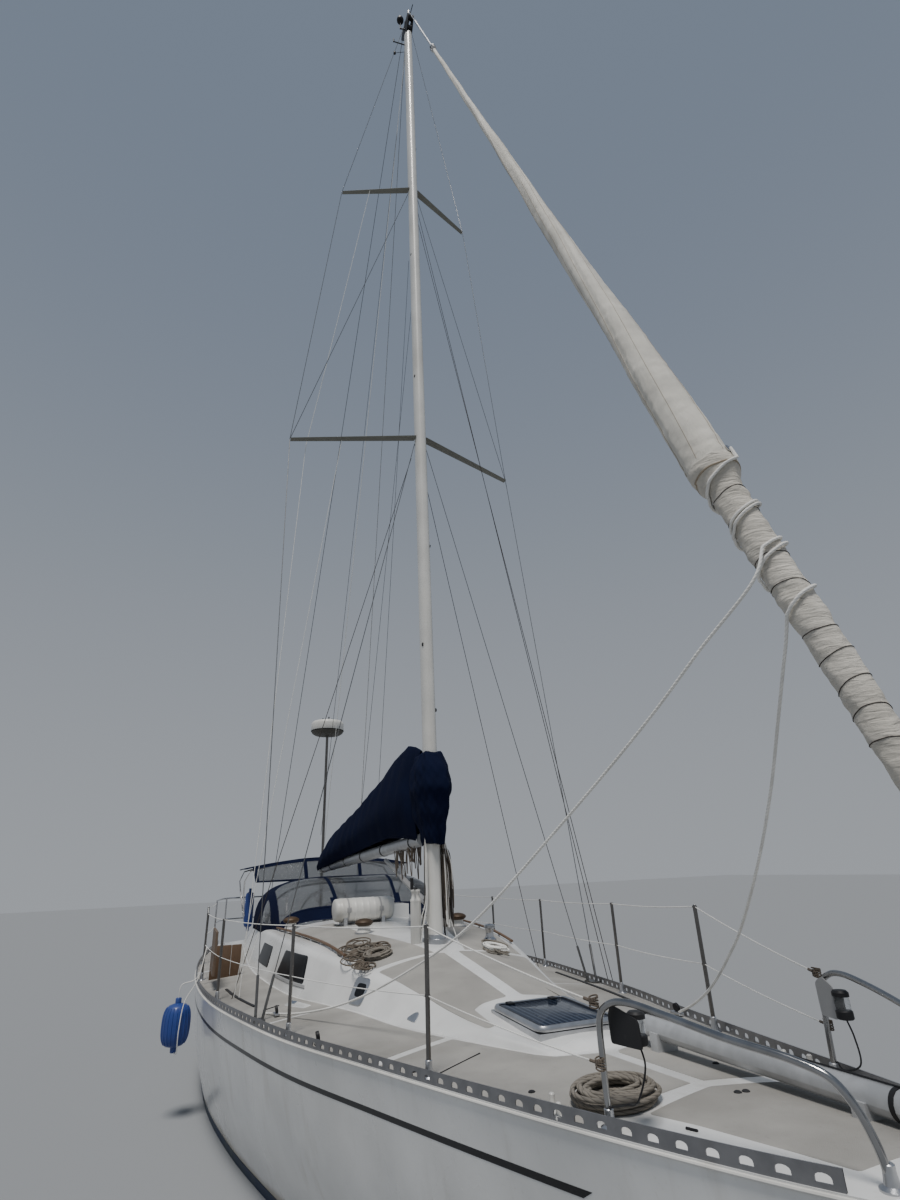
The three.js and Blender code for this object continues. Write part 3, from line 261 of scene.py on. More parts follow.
def rounded(corners, radius, steps=5):
    """A closed outline with each corner replaced by a quadratic arc that starts radius away from it."""
    corners = np.asarray(corners, float)
    before, after = np.roll(corners, 1, axis=0), np.roll(corners, -1, axis=0)
    reach = np.broadcast_to(radius, len(corners))[:, None]
    room_in = np.linalg.norm(before - corners, axis=1, keepdims=True)
    room_out = np.linalg.norm(after - corners, axis=1, keepdims=True)
    start = corners + (before - corners) / room_in * np.minimum(reach, room_in / 2.1)
    end = corners + (after - corners) / room_out * np.minimum(reach, room_out / 2.1)
    t = np.linspace(0, 1, steps)[None, :, None]
    arcs = (1 - t) ** 2 * start[:, None] + 2 * t * (1 - t) * corners[:, None] + t**2 * end[:, None]
    return arcs.reshape(-1, corners.shape[1])


def finer(outline, step):
    """An outline with extra points, so that none of its sides is longer than step."""
    closed = np.vstack([outline, outline[:1]])
    sides = np.linalg.norm(np.diff(closed, axis=0), axis=1)
    counts = np.maximum(1, np.ceil(sides / step).astype(int))
    at = np.repeat(np.arange(len(outline)), counts)
    share = (np.arange(len(at)) - np.repeat(np.cumsum(counts) - counts, counts)) / counts[at]
    return closed[at] + share[:, None] * (closed[at + 1] - closed[at])


def inset(outline, depth):
    """An outline moved inwards along its own normals."""
    tangent = unit(np.roll(outline, -1, axis=0) - np.roll(outline, 1, axis=0))
    return outline + depth * np.stack([-tangent[:, 1], tangent[:, 0]], -1)


def stacked(outline, levels, place=None):
    """Rings of an outline, each moved inwards by its depth and set at its height; place carries them
    off."""
    rings = np.stack([np.column_stack([inset(outline, d), np.full(len(outline), z)]) for d, z in levels])
    return rings if place is None else place(rings.reshape(-1, 3)).reshape(rings.shape)


def waves(a, b, seed, scale=1.0, count=7):
    """Smooth pseudo-random folds: a sum of sines whose directions and phases come from one seeded draw."""
    rng = np.random.default_rng(seed)
    total = np.zeros(np.broadcast(a, b).shape)
    for k in range(count):
        spread = 1.5 * scale * (1 + 0.35 * k)
        kx, ky, phase = rng.normal(0, spread), rng.normal(0, spread), rng.uniform(0, 6.3)
        total = total + np.sin(kx * a + ky * b + phase) / (1 + 0.45 * k)
    return total / 2.2


class Shape:
    """The points, faces and texture places of one piece, gathered as whole arrays."""

    def __init__(self):
        """Starts empty; count is the number of points so far."""
        self.points, self.faces, self.places, self.marks, self.count = [], [], [], [], 0

    def put(self, points, faces, places=None, mark=0):
        """Adds points and faces, whose indices count from the first of these points and may be below 0."""
        points, faces = np.asarray(points, float).reshape(-1, 3), np.asarray(faces, int)
        self.faces.extend((faces + self.count).tolist())
        self.places.append(np.zeros((faces.size, 2)) if places is None
            else np.asarray(places, float).reshape(-1, 2))
        self.marks.append(np.full(len(faces), mark))
        self.points.append(points)
        self.count += len(points)
        return self

    def join(self, other):
        """Adds all of another shape."""
        return self.put(np.concatenate(other.points), other.faces, np.concatenate(other.places))

    def grid(self, points, wrap=False, mark=0, ends=False, flip=False):
        """Quads over points[i, j]. The UV is metres along i and the share of the way across j."""
        rows, cols = points.shape[:2]
        run = np.concatenate([[0], np.cumsum(np.linalg.norm(np.diff(points.mean(axis=1), axis=0), axis=1))])
        span = cols if wrap else cols - 1
        i, j = (k.ravel() for k in np.meshgrid(np.arange(rows - 1), np.arange(span), indexing="ij"))
        right = (j + 1) % cols
        quads = np.stack([i * cols + j, i * cols + right, (i + 1) * cols + right, (i + 1) * cols + j], -1)
        u = np.stack([run[i], run[i], run[i + 1], run[i + 1]], -1)
        v = np.stack([j, j + 1, j + 1, j], -1) / span
        places = np.stack([u, v], -1)
        way = slice(None, None, -1) if flip else slice(None)
        mark = mark if np.ndim(mark) == 0 else np.asarray(mark)[:, :span].ravel()
        self.put(points, quads[:, way], places[:, way], mark)
        if ends:
            ring = np.arange(cols)
            for at, first in ((0, True), (rows - 1, False)):
                here, there = at * cols + ring - rows * cols, at * cols + (ring + 1) % cols - rows * cols
                fan = [np.zeros(cols, int), there, here] if first else [np.zeros(cols, int), here, there]
                fan = np.stack(fan, -1)
                fan[:, 1:] -= 0 if first else 1
                self.put(points[at].mean(axis=0), fan[:, way])
        return self

    def tube(self, path, radius, sides=12, ends=True, strands=0, lay=0.05):
        """A round section carried along a path. With strands its radius has that many lobes, which turn
        with the lay."""
        path = np.asarray(path, float)
        ahead = unit(np.gradient(path, axis=0))
        axis = np.eye(3)[np.abs(ahead).max(axis=0).argmin()]
        side = unit(np.cross(axis, ahead))
        up = np.cross(ahead, side)
        turn = 2 * np.pi * np.arange(sides) / sides
        reach = np.broadcast_to(radius, len(path))[:, None] * np.ones(sides)
        if strands:
            run = np.concatenate([[0], np.cumsum(np.linalg.norm(np.diff(path, axis=0), axis=1))])[:, None]
            lobe = np.abs(np.sin(strands / 2 * (turn - 2 * np.pi * run / lay))) ** 0.7
            reach = reach * (1 - STRAND_DEPTH / 2 + STRAND_DEPTH * lobe)
        rings = path[:, None] + reach[..., None] * (np.cos(turn)[None, :, None] * side[:, None]
                                                   + np.sin(turn)[None, :, None] * up[:, None])
        return self.grid(rings, wrap=True, ends=ends)

    def rod(self, start, end, radius, sides=12):
        """A straight bar with a small chamfer at each end."""
        start, end = np.asarray(start, float), np.asarray(end, float)
        along = end - start
        edge = min(0.25 * radius, 0.2 * np.linalg.norm(along))
        ahead = unit(along)
        path = np.array([start, start + ahead * edge, end - ahead * edge, end])
        return self.tube(path, np.array([radius - edge, radius, radius, radius - edge]), sides)

    def lathe(self, profile, base, axis=(0, 0, 1), sides=24):
        """A profile of radius and height turned about an axis through base."""
        profile = np.asarray(profile, float)
        axis = unit(np.asarray(axis, float))
        start = np.eye(3)[np.abs(axis).argmin()]
        first = unit(np.cross(axis, start))
        second = np.cross(axis, first)
        turn = 2 * np.pi * np.arange(sides) / sides
        round_it = np.cos(turn)[:, None] * first + np.sin(turn)[:, None] * second
        rings = np.asarray(base, float) + profile[:, 1, None, None] * axis + profile[:, 0, None,
            None] * round_it
        return self.grid(rings, wrap=True, ends=True)

    def slab(self, outline, low, high, bevel=0.003, place=None):
        """A flat plate of a closed outline that turns left, with rounded edges; place carries it to where
        it sits."""
        outline = np.asarray(outline, float)
        steps = [(1, 0), (0.3, 0.3), (0, 1)]
        levels = [(bevel * d, low + bevel * h) for d, h in steps]
        levels += [(bevel * d, high - bevel * h) for d, h in steps[::-1]]
        return self.grid(stacked(outline, levels, place), wrap=True, ends=True)

    def block(self, low, high, bevel=0.004, place=None):
        """A box with rounded corners and edges."""
        (x0, y0, z0), (x1, y1, z1) = low, high
        bevel = min(bevel, 0.45 * min(x1 - x0, y1 - y0, z1 - z0))
        outline = rounded([(x0, y0), (x1, y0), (x1, y1), (x0, y1)], 1.5 * bevel, 4)
        return self.slab(outline, z0, z1, bevel, place)

    def frame(self, outline, width, low, high, bevel, place):
        """A flat ring: the outline and the same outline moved inwards, joined above and below."""
        outline = np.asarray(outline, float)
        levels = [(0, low), (0, high - bevel), (bevel, high), (width - bevel, high), (width, high - bevel),
                  (width, low), (0, low)]
        return self.grid(stacked(outline, levels, place), wrap=True)

    def patch(self, outline, surface, lift, depth=0.004, middle=None, rings=9):
        """A thin sheet laid on a surface: the outline shrunk in steps towards its middle, each ring lifted
        off it."""
        outline = finer(np.asarray(outline, float), 0.09)
        middle = outline.mean(axis=0) if middle is None else np.asarray(middle, float)
        inner = inset(outline, PANEL_EDGE)
        shares = np.linspace(1, 0, rings, endpoint=False)
        flat = [outline, outline] + [middle + (inner - middle) * share for share in shares]
        lifts = np.array([lift - depth, lift - 0.35 * min(depth, lift + 0.001)] + [lift] * rings)
        flat = np.stack(flat)
        a, b = flat[..., 0], flat[..., 1]
        tiny = 1e-3
        at = surface(a, b)
        normal = unit(np.cross(surface(a + tiny, b) - at, surface(a, b + tiny) - at))
        return self.grid(at + lifts[:, None, None] * normal, wrap=True, ends=True)

    def made(self, name, look, body="hull", slot=None, sharp=35, merge=0.0, outward=False):
        """The piece as an object that rides on its body, with the material of its look; slot is not used."""
        mesh = bpy.data.meshes.new(name)
        mesh.from_pydata(np.concatenate(self.points), [], self.faces)
        mesh.uv_layers.new(name="UVMap").data.foreach_set("uv", np.concatenate(self.places).ravel())
        mesh.polygons.foreach_set("material_index", np.concatenate(self.marks).astype(np.int32))
        piece = bpy.data.objects.new(name, mesh)
        bpy.context.scene.collection.objects.link(piece)
        looks = [look] if isinstance(look, str) else look
        for each in looks:
            mesh.materials.append(finish(each))
        if merge or outward:
            work = bmesh.new()
            work.from_mesh(mesh)
            if merge:
                bmesh.ops.remove_doubles(work, verts=work.verts, dist=merge)
            if outward:
                bmesh.ops.recalc_face_normals(work, faces=work.faces)
            work.to_mesh(mesh)
            work.free()
        shade(mesh, sharp)
        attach(piece, body)
        return piece

    def pair(self, name, look, **more):
        """The piece with its reflection in the centreline, all faces looking out."""
        return mirrored(self).made(name, look, outward=True, **more)


def shade(mesh, sharp):
    """Smooth faces that meet at less than the sharp angle."""
    mesh.polygons.foreach_set("use_smooth", np.ones(len(mesh.polygons), bool))
    mesh.set_sharp_from_angle(angle=math.radians(sharp))
    mesh.update()


def refined(node, look, body="hull", bevel=0.0):
    """A CAD node's own shape with its points joined, its small angles smoothed and its edges rounded."""
    name = node + "_fine"
    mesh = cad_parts[node].data.copy()
    mesh.name = name
    work = bmesh.new()
    work.from_mesh(mesh)
    bmesh.ops.remove_doubles(work, verts=work.verts, dist=2e-5)
    bmesh.ops.dissolve_limit(work, angle_limit=math.radians(1), verts=work.verts, edges=work.edges)
    work.to_mesh(mesh)
    work.free()
    mesh.materials.clear()
    mesh.materials.append(finish(look))
    mesh.polygons.foreach_set("material_index", np.zeros(len(mesh.polygons), np.int32))
    shade(mesh, CAD_SHARP)
    piece = bpy.data.objects.new(name, mesh)
    bpy.context.scene.collection.objects.link(piece)
    if bevel:
        made = piece.modifiers.new("Rounded edges", "BEVEL")
        made.width, made.segments = bevel, 2
        made.limit_method, made.angle_limit = "ANGLE", math.radians(CAD_SHARP)
    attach(piece, body)
    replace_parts(piece, node)
    return piece


def thickened(piece, thickness=CLOTH):
    """The sheet with its thickness added on its inner side."""
    made = piece.modifiers.new("Cloth", "SOLIDIFY")
    made.thickness, made.offset = thickness, -1
    return piece


def carved(piece, boxes, turn=None):
    """The piece less some boxes, each a low and a high corner; turn is a function that places the last."""
    work = Shape()
    for k, (low, high) in enumerate(boxes):
        corners = np.array([(x, y, z) for x in (low[0], high[0]) for y in (low[1], high[1])
                            for z in (low[2], high[2])])
        if turn is not None and k == len(boxes) - 1:
            corners = turn(corners)
        work.put(corners, [[0, 1, 3, 2], [4, 6, 7, 5], [0, 4, 5, 1], [2, 3, 7, 6], [0, 2, 6, 4],
            [1, 5, 7, 3]])
    mesh = bpy.data.meshes.new("carving")
    mesh.from_pydata(np.concatenate(work.points), [], work.faces)
    tool = bpy.data.objects.new("carving", mesh)
    bpy.context.scene.collection.objects.link(tool)
    made = piece.modifiers.new("Carved", "BOOLEAN")
    made.operation, made.solver, made.object, made.use_self = "DIFFERENCE", "EXACT", tool, True
    bpy.context.view_layer.update()
    kept = bpy.data.meshes.new_from_object(piece.evaluated_get(bpy.context.evaluated_depsgraph_get()))
    piece.modifiers.clear()
    old, piece.data = piece.data, kept
    bpy.data.meshes.remove(old)
    bpy.data.objects.remove(tool)
    bpy.data.meshes.remove(mesh)
    return piece


def colour(title, says, value):
    """A colour that the panel shows."""
    return FloatVectorProperty(name=title, description=says, default=value, size=3, min=0, max=1,
                               subtype="COLOR")


class YachtColours(bpy.types.PropertyGroup):
    """Colours that an owner would choose."""

    hull: colour("Hull and deck", "Gelcoat of hull, deck and coachroof", (0.83, 0.83, 0.81))
    nonskid: colour("Non-skid", "Stippled panels that are walked on", (0.37, 0.357, 0.33))
    bottom: colour("Antifouling", "Paint under the waterline", (0.02, 0.035, 0.075))
    stripe: colour("Stripe", "Line under the toe rail", (0.004, 0.004, 0.006))
    canvas: colour("Canvas", "Sail cover, sprayhood and bimini", (0.005, 0.008, 0.028))
    sail: colour("Sail", "The furled genoa", (0.76, 0.72, 0.64))


class YachtSizes(bpy.types.PropertyGroup):
    """Sizes that an owner would change."""

    fold: FloatProperty(name="Cover folds", description="Depth of the folds in the sail cover",
        default=0.011, min=0, max=0.03, unit="LENGTH", subtype="DISTANCE")
    crease: FloatProperty(name="Sail creases", description="Depth of the creases round the furled genoa",
                          default=0.005, min=0, max=0.008, unit="LENGTH", subtype="DISTANCE")
    coil_turns: IntProperty(name="Coil turns", description="Turns beside each other in a rope coil",
        default=4, min=3, max=4)
    slats: IntProperty(name="Seat slats", description="Teak slats across one cockpit seat", default=9,
        min=6, max=12)


def chosen():
    """The owner's colours and sizes in this scene."""
    return bpy.context.scene.yacht_colours, bpy.context.scene.yacht_sizes


class Wires:
    """The nodes of one tree, added with their inputs set or linked by name."""

    def __init__(self, tree):
        """Keeps the tree whose nodes and links are added."""
        self.tree = tree

    def feed(self, socket, value):
        """Links a socket to another one, or sets its value; a colour of three numbers gets a fourth."""
        if isinstance(value, bpy.types.NodeSocket):
            self.tree.links.new(value, socket)
        else:
            socket.default_value = (*value, 1) if socket.type == "RGBA" and len(value) == 3 else value

    def add(self, kind, settings=(), **inputs):
        """A node with its settings, and its inputs fed by name, or by number as at0, at1."""
        node = self.tree.nodes.new("ShaderNode" + kind)
        for key, value in dict(settings).items():
            setattr(node, key, value)
        for key, value in inputs.items():
            self.feed(node.inputs[int(key[2:]) if key[2:].isdigit() else key.replace("_", " ")], value)
        return node

    def mix(self, factor, a, b):
        """A blend of two colours by a factor."""
        return self.add("Mix", {"data_type": "RGBA"}, at0=factor, at6=a, at7=b).outputs[2]

    def sum(self, operation, *values):
        """A sum, product or other arithmetic of numbers and sockets."""
        inputs = {f"at{k}": value for k, value in enumerate(values)}
        return self.add("Math", {"operation": operation}, **inputs).outputs[0]

    def stretched(self, scale):
        """The object's own coordinates, multiplied by a vector."""
        return self.add("Mapping", Vector=self.add("TexCoord").outputs["Object"], Scale=scale).outputs[0]

    def noise(self, stretch, scale, detail, **more):
        """Fractal noise over the stretched coordinates."""
        return self.add("TexNoise", Vector=self.stretched(stretch), Scale=scale, Detail=detail,
            **more).outputs[0]

    def bands(self, axis, scale, distortion):
        """Even waves along one axis."""
        return self.add("TexWave", {"bands_direction": axis}, Vector=self.stretched((1, 1, 1)), Scale=scale,
                        Distortion=distortion).outputs[1]

    def step(self, value, low, high, to_low=0.0, to_high=1.0):
        """A smooth step from low to high."""
        return self.add("MapRange", {"interpolation_type": "SMOOTHSTEP"}, Value=value, From_Min=low,
            From_Max=high, To_Min=to_low, To_Max=to_high).outputs[0]


def group(name, inputs, outputs, build):
    """A node group with named sockets, built once and then shared."""
    tree = bpy.data.node_groups.get(name)
    if tree is None:
        tree = bpy.data.node_groups.new(name, "ShaderNodeTree")
        for title, default in inputs:
            made = tree.interface.new_socket(title, in_out="INPUT", socket_type="NodeSocketFloat")
            made.default_value = default
        for title in outputs:
            tree.interface.new_socket(title, in_out="OUTPUT", socket_type="NodeSocketFloat")
        wires = Wires(tree)
        given = tree.nodes.new("NodeGroupInput").outputs
        taken = tree.nodes.new("NodeGroupOutput").inputs
        for title, socket in build(wires, given).items():
            tree.links.new(socket, taken[title])
    return tree


def weathering(wires, given):
    """Broad patches, streaks that run down, and fine specks, as masks from 0 to 1."""
    patches = wires.noise((1, 1, 1), given["Scale"], 6.0)
    streaks = wires.noise((9, 9, 0.7), given["Scale"], 5.0)
    specks = wires.noise((40, 40, 40), given["Scale"], 3.0)
    return {"Patches": wires.step(patches, 0.42, 0.72), "Streaks": wires.step(streaks, 0.52, 0.78),
            "Specks": wires.step(specks, 0.6, 0.75)}


def weave(wires, given):
    """Two crossed bands of threads as a height, and the slow shade of worn cloth as a tone."""
    across = wires.bands("X", given["Threads"], 0.4)
    down = wires.bands("Z", given["Threads"], 0.4)
    tone = wires.noise((1, 1, 1), 5.0, 7.0)
    hanging = wires.noise((1, 1, 0.35), 22.0, 4.0)
    level = wires.noise((1, 1, 5), 11.0, 6.0, Distortion=0.5)
    creases = wires.sum("ADD", wires.sum("MULTIPLY", hanging, wires.sum("SUBTRACT", 1.0, given["Level"])),
                        wires.sum("MULTIPLY", level, wires.sum("MULTIPLY", given["Level"], 2.0)))
    height = wires.sum("ADD", wires.sum("MULTIPLY", wires.sum("ADD", across, down), 0.06), creases)
    return {"Height": height, "Tone": tone}


def strands(wires, given):
    """Strands slanting along a rope's UV as a height, their wave as a mask of painted groove shade, worn
    fibres as a tone.
    """
    place = wires.add("SeparateXYZ", Vector=wires.add("UVMap").outputs[0]).outputs
    turn = wires.sum("SUBTRACT", wires.sum("MULTIPLY", place[1], given["Strands"]),
                     wires.sum("MULTIPLY", place[0], given["Pitch"]))
    wave = wires.sum("ABSOLUTE", wires.sum("SINE", wires.sum("MULTIPLY", turn, math.pi)))
    fibres = wires.noise((1, 1, 1), 420.0, 4.0)
    worn = wires.noise((1, 1, 1), 9.0, 4.0)
    return {"Height": wires.sum("ADD", wave, wires.sum("MULTIPLY", fibres, 0.4)), "Strand": wave,
        "Tone": worn}


def stipple(wires, given):
    """Small round bumps pressed into a panel, as a height and a tone."""
    cells = wires.add("TexVoronoi", Vector=wires.stretched((1, 1, 1)), Scale=given["Bumps"]).outputs[0]
    tone = wires.noise((1, 1, 1), 3.2, 8.0)
    return {"Height": wires.step(cells, 0.1, 0.6, 1.0, 0.0), "Tone": tone}


def brushed(wires, given):
    """Long fine scratches along one axis, as a height, and dull spots as a tone."""
    lines = wires.noise((90, 90, 3), given["Scale"], 5.0)
    spots = wires.noise((1, 1, 1), 14.0, 6.0)
    return {"Height": lines, "Tone": spots}


def grain(wires, given):
    """Long wavy fibres of wood, as a height and a tone."""
    bent = wires.noise((1.2, 14, 14), given["Scale"], 8.0, Distortion=0.6)
    fine = wires.noise((3, 90, 90), given["Scale"], 3.0)
    return {"Height": wires.sum("ADD", bent, wires.sum("MULTIPLY", fine, 0.5)), "Tone": bent}


def moulded(wires, given):
    """The faint orange-peel of gelcoat, paint and moulded plastic, as a height and a slow tone."""
    peel = wires.noise((1, 1, 1), given["Scale"], 2.0)
    tone = wires.noise((1, 1, 1), 1.7, 7.0)
    return {"Height": peel, "Tone": tone}


PATTERNS = {
    "Weave": (weave, [("Threads", 130.0), ("Level", 0.0)]),
    "Strands": (strands, [("Strands", 3.0), ("Pitch", 30.0)]),
    "Stipple": (stipple, [("Bumps", 260.0)]),
    "Brushed": (brushed, [("Scale", 1.0)]),
    "Grain": (grain, [("Scale", 5.0)]),
    "Moulded": (moulded, [("Scale", 45.0)]),
}
LOOKS = {
    # colour, colour of its wear, pattern, its number, metallic, roughness, coat, bump, patches, streaks
    "gelcoat": (None, (0.52, 0.5, 0.45), "Moulded", 45, 0, 0.26, 0.5, 0.012, 0.12, 0.16),
    "topsides": (None, (0.42, 0.38, 0.31), "Moulded", 30, 0, 0.24, 0.6, 0.01, 0.14, 0.3),
    "nonskid": (None, (0.13, 0.12, 0.105), "Stipple", 300, 0, 0.78, 0, 0.35, 0.35, 0.1),
    "bottom": (None, (0.09, 0.11, 0.08), "Moulded", 90, 0, 0.7, 0, 0.1, 0.6, 0.3),
    "stripe": (None, (0.06, 0.06, 0.06), "Moulded", 60, 0, 0.32, 0.3, 0.01, 0.15, 0.1),
    "canvas": (None, (0.012, 0.017, 0.042), "Weave", 130, 0, 0.92, 0, 0.35, 0.3, 0.1),
    "sail": (None, (0.5, 0.46, 0.38), "Weave", 160, 0, 0.62, 0, 0.9, 0.35, 0.2),
    "hem": ((0.36, 0.3, 0.22), (0.2, 0.16, 0.11), "Weave", 160, 0, 0.7, 0, 0.2, 0.3, 0.2),
    "taut_sail": ((0.77, 0.74, 0.66), (0.5, 0.46, 0.38), "Weave", 160, 0, 0.6, 0, 0.7, 0.3, 0.35),
    "spar": ((0.74, 0.73, 0.69), (0.45, 0.42, 0.36), "Moulded", 60, 0, 0.34, 0.3, 0.01, 0.2, 0.35),
    # The spreaders' grey is painted darker than their paint, as painted shade for the shade on their
    # undersides.
    "spreader": ((0.2, 0.2, 0.17), (0.12, 0.11, 0.09), "Moulded", 60, 0, 0.5, 0, 0.02, 0.3, 0.2),
    "boom": ((0.5, 0.51, 0.52), (0.33, 0.33, 0.33), "Brushed", 1, 0.25, 0.38, 0.1, 0.02, 0.3, 0.2),
    "alloy": ((0.62, 0.63, 0.65), (0.36, 0.36, 0.37), "Brushed", 1.4, 1, 0.34, 0, 0.03, 0.35, 0.15),
    "rail": ((0.3, 0.3, 0.31), (0.18, 0.17, 0.16), "Brushed", 1.0, 0.9, 0.42, 0, 0.03, 0.35, 0.2),
    "steel": ((0.6, 0.6, 0.61), (0.28, 0.25, 0.22), "Brushed", 0.6, 1, 0.14, 0, 0.012, 0.2, 0.12),
    "pulpit": ((0.42, 0.42, 0.42), (0.14, 0.12, 0.1), "Brushed", 0.6, 1, 0.13, 0, 0.01, 0.25, 0.2),
    # Steel painted darker than the metal is, as a painted reflection of dark water.
    "dark_steel": ((0.2, 0.19, 0.18), (0.1, 0.09, 0.08), "Brushed", 0.6, 1, 0.24, 0, 0.012, 0.3, 0.2),
    "bronze": ((0.55, 0.33, 0.12), (0.14, 0.27, 0.2), "Brushed", 1, 1, 0.4, 0, 0.06, 0.7, 0.2),
    "old_brass": ((0.085, 0.05, 0.025), (0.04, 0.03, 0.02), "Brushed", 1, 0.3, 0.5, 0, 0.05, 0.8, 0.3),
    "black": ((0.018, 0.018, 0.02), (0.07, 0.07, 0.07), "Moulded", 120, 0, 0.46, 0, 0.04, 0.25, 0.15),
    "rubber": ((0.028, 0.028, 0.03), (0.1, 0.1, 0.1), "Moulded", 90, 0, 0.72, 0, 0.06, 0.3, 0.2),
    "white": ((0.72, 0.71, 0.67), (0.45, 0.42, 0.36), "Moulded", 80, 0, 0.4, 0.1, 0.02, 0.3, 0.3),
    "dark_plastic": ((0.1, 0.095, 0.08), (0.05, 0.05, 0.045), "Moulded", 80, 0, 0.6, 0, 0.03, 0.3, 0.2),
    "grey": ((0.36, 0.36, 0.36), (0.24, 0.23, 0.22), "Moulded", 80, 0, 0.5, 0, 0.03, 0.3, 0.2),
    "blue": ((0.02, 0.055, 0.26), (0.06, 0.1, 0.22), "Moulded", 60, 0, 0.4, 0.15, 0.03, 0.35, 0.2),
    "dull_blue": ((0.12, 0.15, 0.2), (0.08, 0.09, 0.1), "Moulded", 80, 0, 0.5, 0, 0.02, 0.3, 0.1),
    "navy": ((0.008, 0.012, 0.045), (0.03, 0.04, 0.08), "Weave", 100, 0, 0.75, 0, 0.2, 0.3, 0.1),
    "teak": ((0.30, 0.19, 0.1), (0.33, 0.3, 0.26), "Grain", 5, 0, 0.68, 0, 0.25, 0.5, 0.1),
    "board": ((0.13, 0.075, 0.04), (0.2, 0.17, 0.14), "Grain", 4, 0, 0.6, 0, 0.25, 0.4, 0.2),
    "rope": ((0.24, 0.215, 0.18), (0.1, 0.085, 0.065), "Strands", 22, 0, 0.85, 0, 0.5, 0.6, 0),
    "dark_rope": ((0.05, 0.04, 0.035), (0.11, 0.09, 0.075), "Strands", 60, 0, 0.85, 0, 0.5, 0.5, 0),
    "white_rope": ((0.88, 0.87, 0.83), (0.62, 0.6, 0.54), "Strands", 50, 0, 0.82, 0, 0.3, 0.25, 0),
    "tie": ((0.16, 0.13, 0.1), (0.08, 0.06, 0.05), "Strands", 120, 0, 0.85, 0, 0.5, 0.5, 0),
    "wire": ((0.2, 0.2, 0.2), (0.12, 0.12, 0.12), "Brushed", 2.0, 0.9, 0.4, 0, 0.2, 0.3, 0),
}
OWNER = {"gelcoat": "hull", "topsides": "hull", "nonskid": "nonskid", "bottom": "bottom",
    "stripe": "stripe", "canvas": "canvas", "sail": "sail"}
AGES = ("Patches", "Streaks", "Specks")
# The second and third numbers are painted shade: the share of a rope's colour left in the grooves between
# its strands, for brown and for white ropes.
SHADED, GROOVE_SHADE, WHITE_GROOVE_SHADE, SPECKS = 0.82, 0.35, 0.72, 0.12
SCUM = (0.2, 0.15, 0.07)
ROUGH_SPREAD, COAT_ROUGHNESS = 0.12, 0.12
RELIEF, CLOTH_RELIEF = 0.004, 0.012
DULL = {"stripe": 0.25, "black": 0.25, "rubber": 0.2, "canvas": 0.08, "navy": 0.1, "nonskid": 0.3,
    "sail": 0.3}


def finish(name):
    """The material of that name, built once: its colour and wear, its pattern's relief, and a shader."""
    made = bpy.data.materials.get("yacht_" + name)
    if made is not None:
        return made
    made = bpy.data.materials.new("yacht_" + name)
    made.use_nodes = True
    wires = Wires(made.node_tree)
    shader = made.node_tree.nodes["Principled BSDF"]
    if name in GLASSES:
        glass(wires, shader, GLASSES[name])
        return made
    base, worn, pattern, number, metallic, rough, coat, bump, patches, streaks = LOOKS[name]
    if base is None:
        base = tuple(getattr(chosen()[0], OWNER[name]))
    build, inputs = PATTERNS[pattern]
    outputs = ("Height", "Tone", "Strand") if pattern == "Strands" else ("Height", "Tone")
    relief = wires.add("Group", {"node_tree": group(pattern, inputs, outputs, build)})
    relief.inputs["Pitch" if pattern == "Strands" else inputs[0][0]].default_value = number
    if name == "sail":
        relief.inputs["Level"].default_value = 1.0
    age = wires.add("Group", {"node_tree": group("Weathering", [("Scale", 1.0)], AGES, weathering)})
    tone = relief.outputs["Tone"]
    darker = lambda share: tuple(c * share for c in base)
    colour = wires.mix(wires.step(tone, 0.3, 0.7), darker(SHADED), base)
    if pattern == "Strands":
        # The grooves between a rope's strands are painted darker: painted shade in the recesses.
        groove_shade = darker(WHITE_GROOVE_SHADE if name == "white_rope" else GROOVE_SHADE)
        colour = wires.mix(wires.step(relief.outputs["Strand"], 0.0, 0.45), groove_shade, colour)
    for mask, share in (("Patches", patches), ("Streaks", streaks), ("Specks", SPECKS)):
        colour = wires.mix(wires.sum("MULTIPLY", age.outputs[mask], share), colour, worn)
    if name == "topsides":
        height = wires.add("SeparateXYZ", Vector=wires.add("TexCoord").outputs["Object"]).outputs[2]
        wavy = wires.sum("ADD", height, wires.sum("MULTIPLY", tone, -0.12))
        scum = wires.sum("MULTIPLY", wires.step(wavy, 0.02, 0.09, 1.0, 0.0), 0.75)
        colour = wires.mix(scum, colour, SCUM)
    uneven = wires.sum("MULTIPLY", wires.sum("ADD", tone, age.outputs["Patches"]), ROUGH_SPREAD)
    if name in DULL:
        shader.inputs["Specular IOR Level"].default_value = DULL[name]
    reach = CLOTH_RELIEF if pattern == "Weave" else RELIEF
    lumps = wires.add("Bump", Strength=bump, Distance=reach, Height=relief.outputs["Height"]).outputs[0]
    roughness = wires.sum("ADD", rough - ROUGH_SPREAD / 2, uneven)
    for title, value in (("Base Color", colour), ("Roughness", roughness), ("Metallic", metallic),
                         ("Coat Weight", coat), ("Coat Roughness", COAT_ROUGHNESS), ("Normal", lumps)):
        wires.feed(shader.inputs[title], value)
    made.diffuse_color = (*base, 1)
    return made


GLASSES = {
    # colour, roughness, transmission, stripes, dust
    "smoked": ((0.004, 0.005, 0.007), 0.3, 0.0, 0.0, 0.15),
    "hatch_pane": ((0.008, 0.014, 0.03), 0.1, 0.0, 1.0, 1.0),
    "clear_vinyl": ((0.34, 0.35, 0.36), 0.08, 0.9, 0.0, 1.0),
    "lens": ((0.82, 0.84, 0.85), 0.05, 0.9, 0.0, 0.5),
}


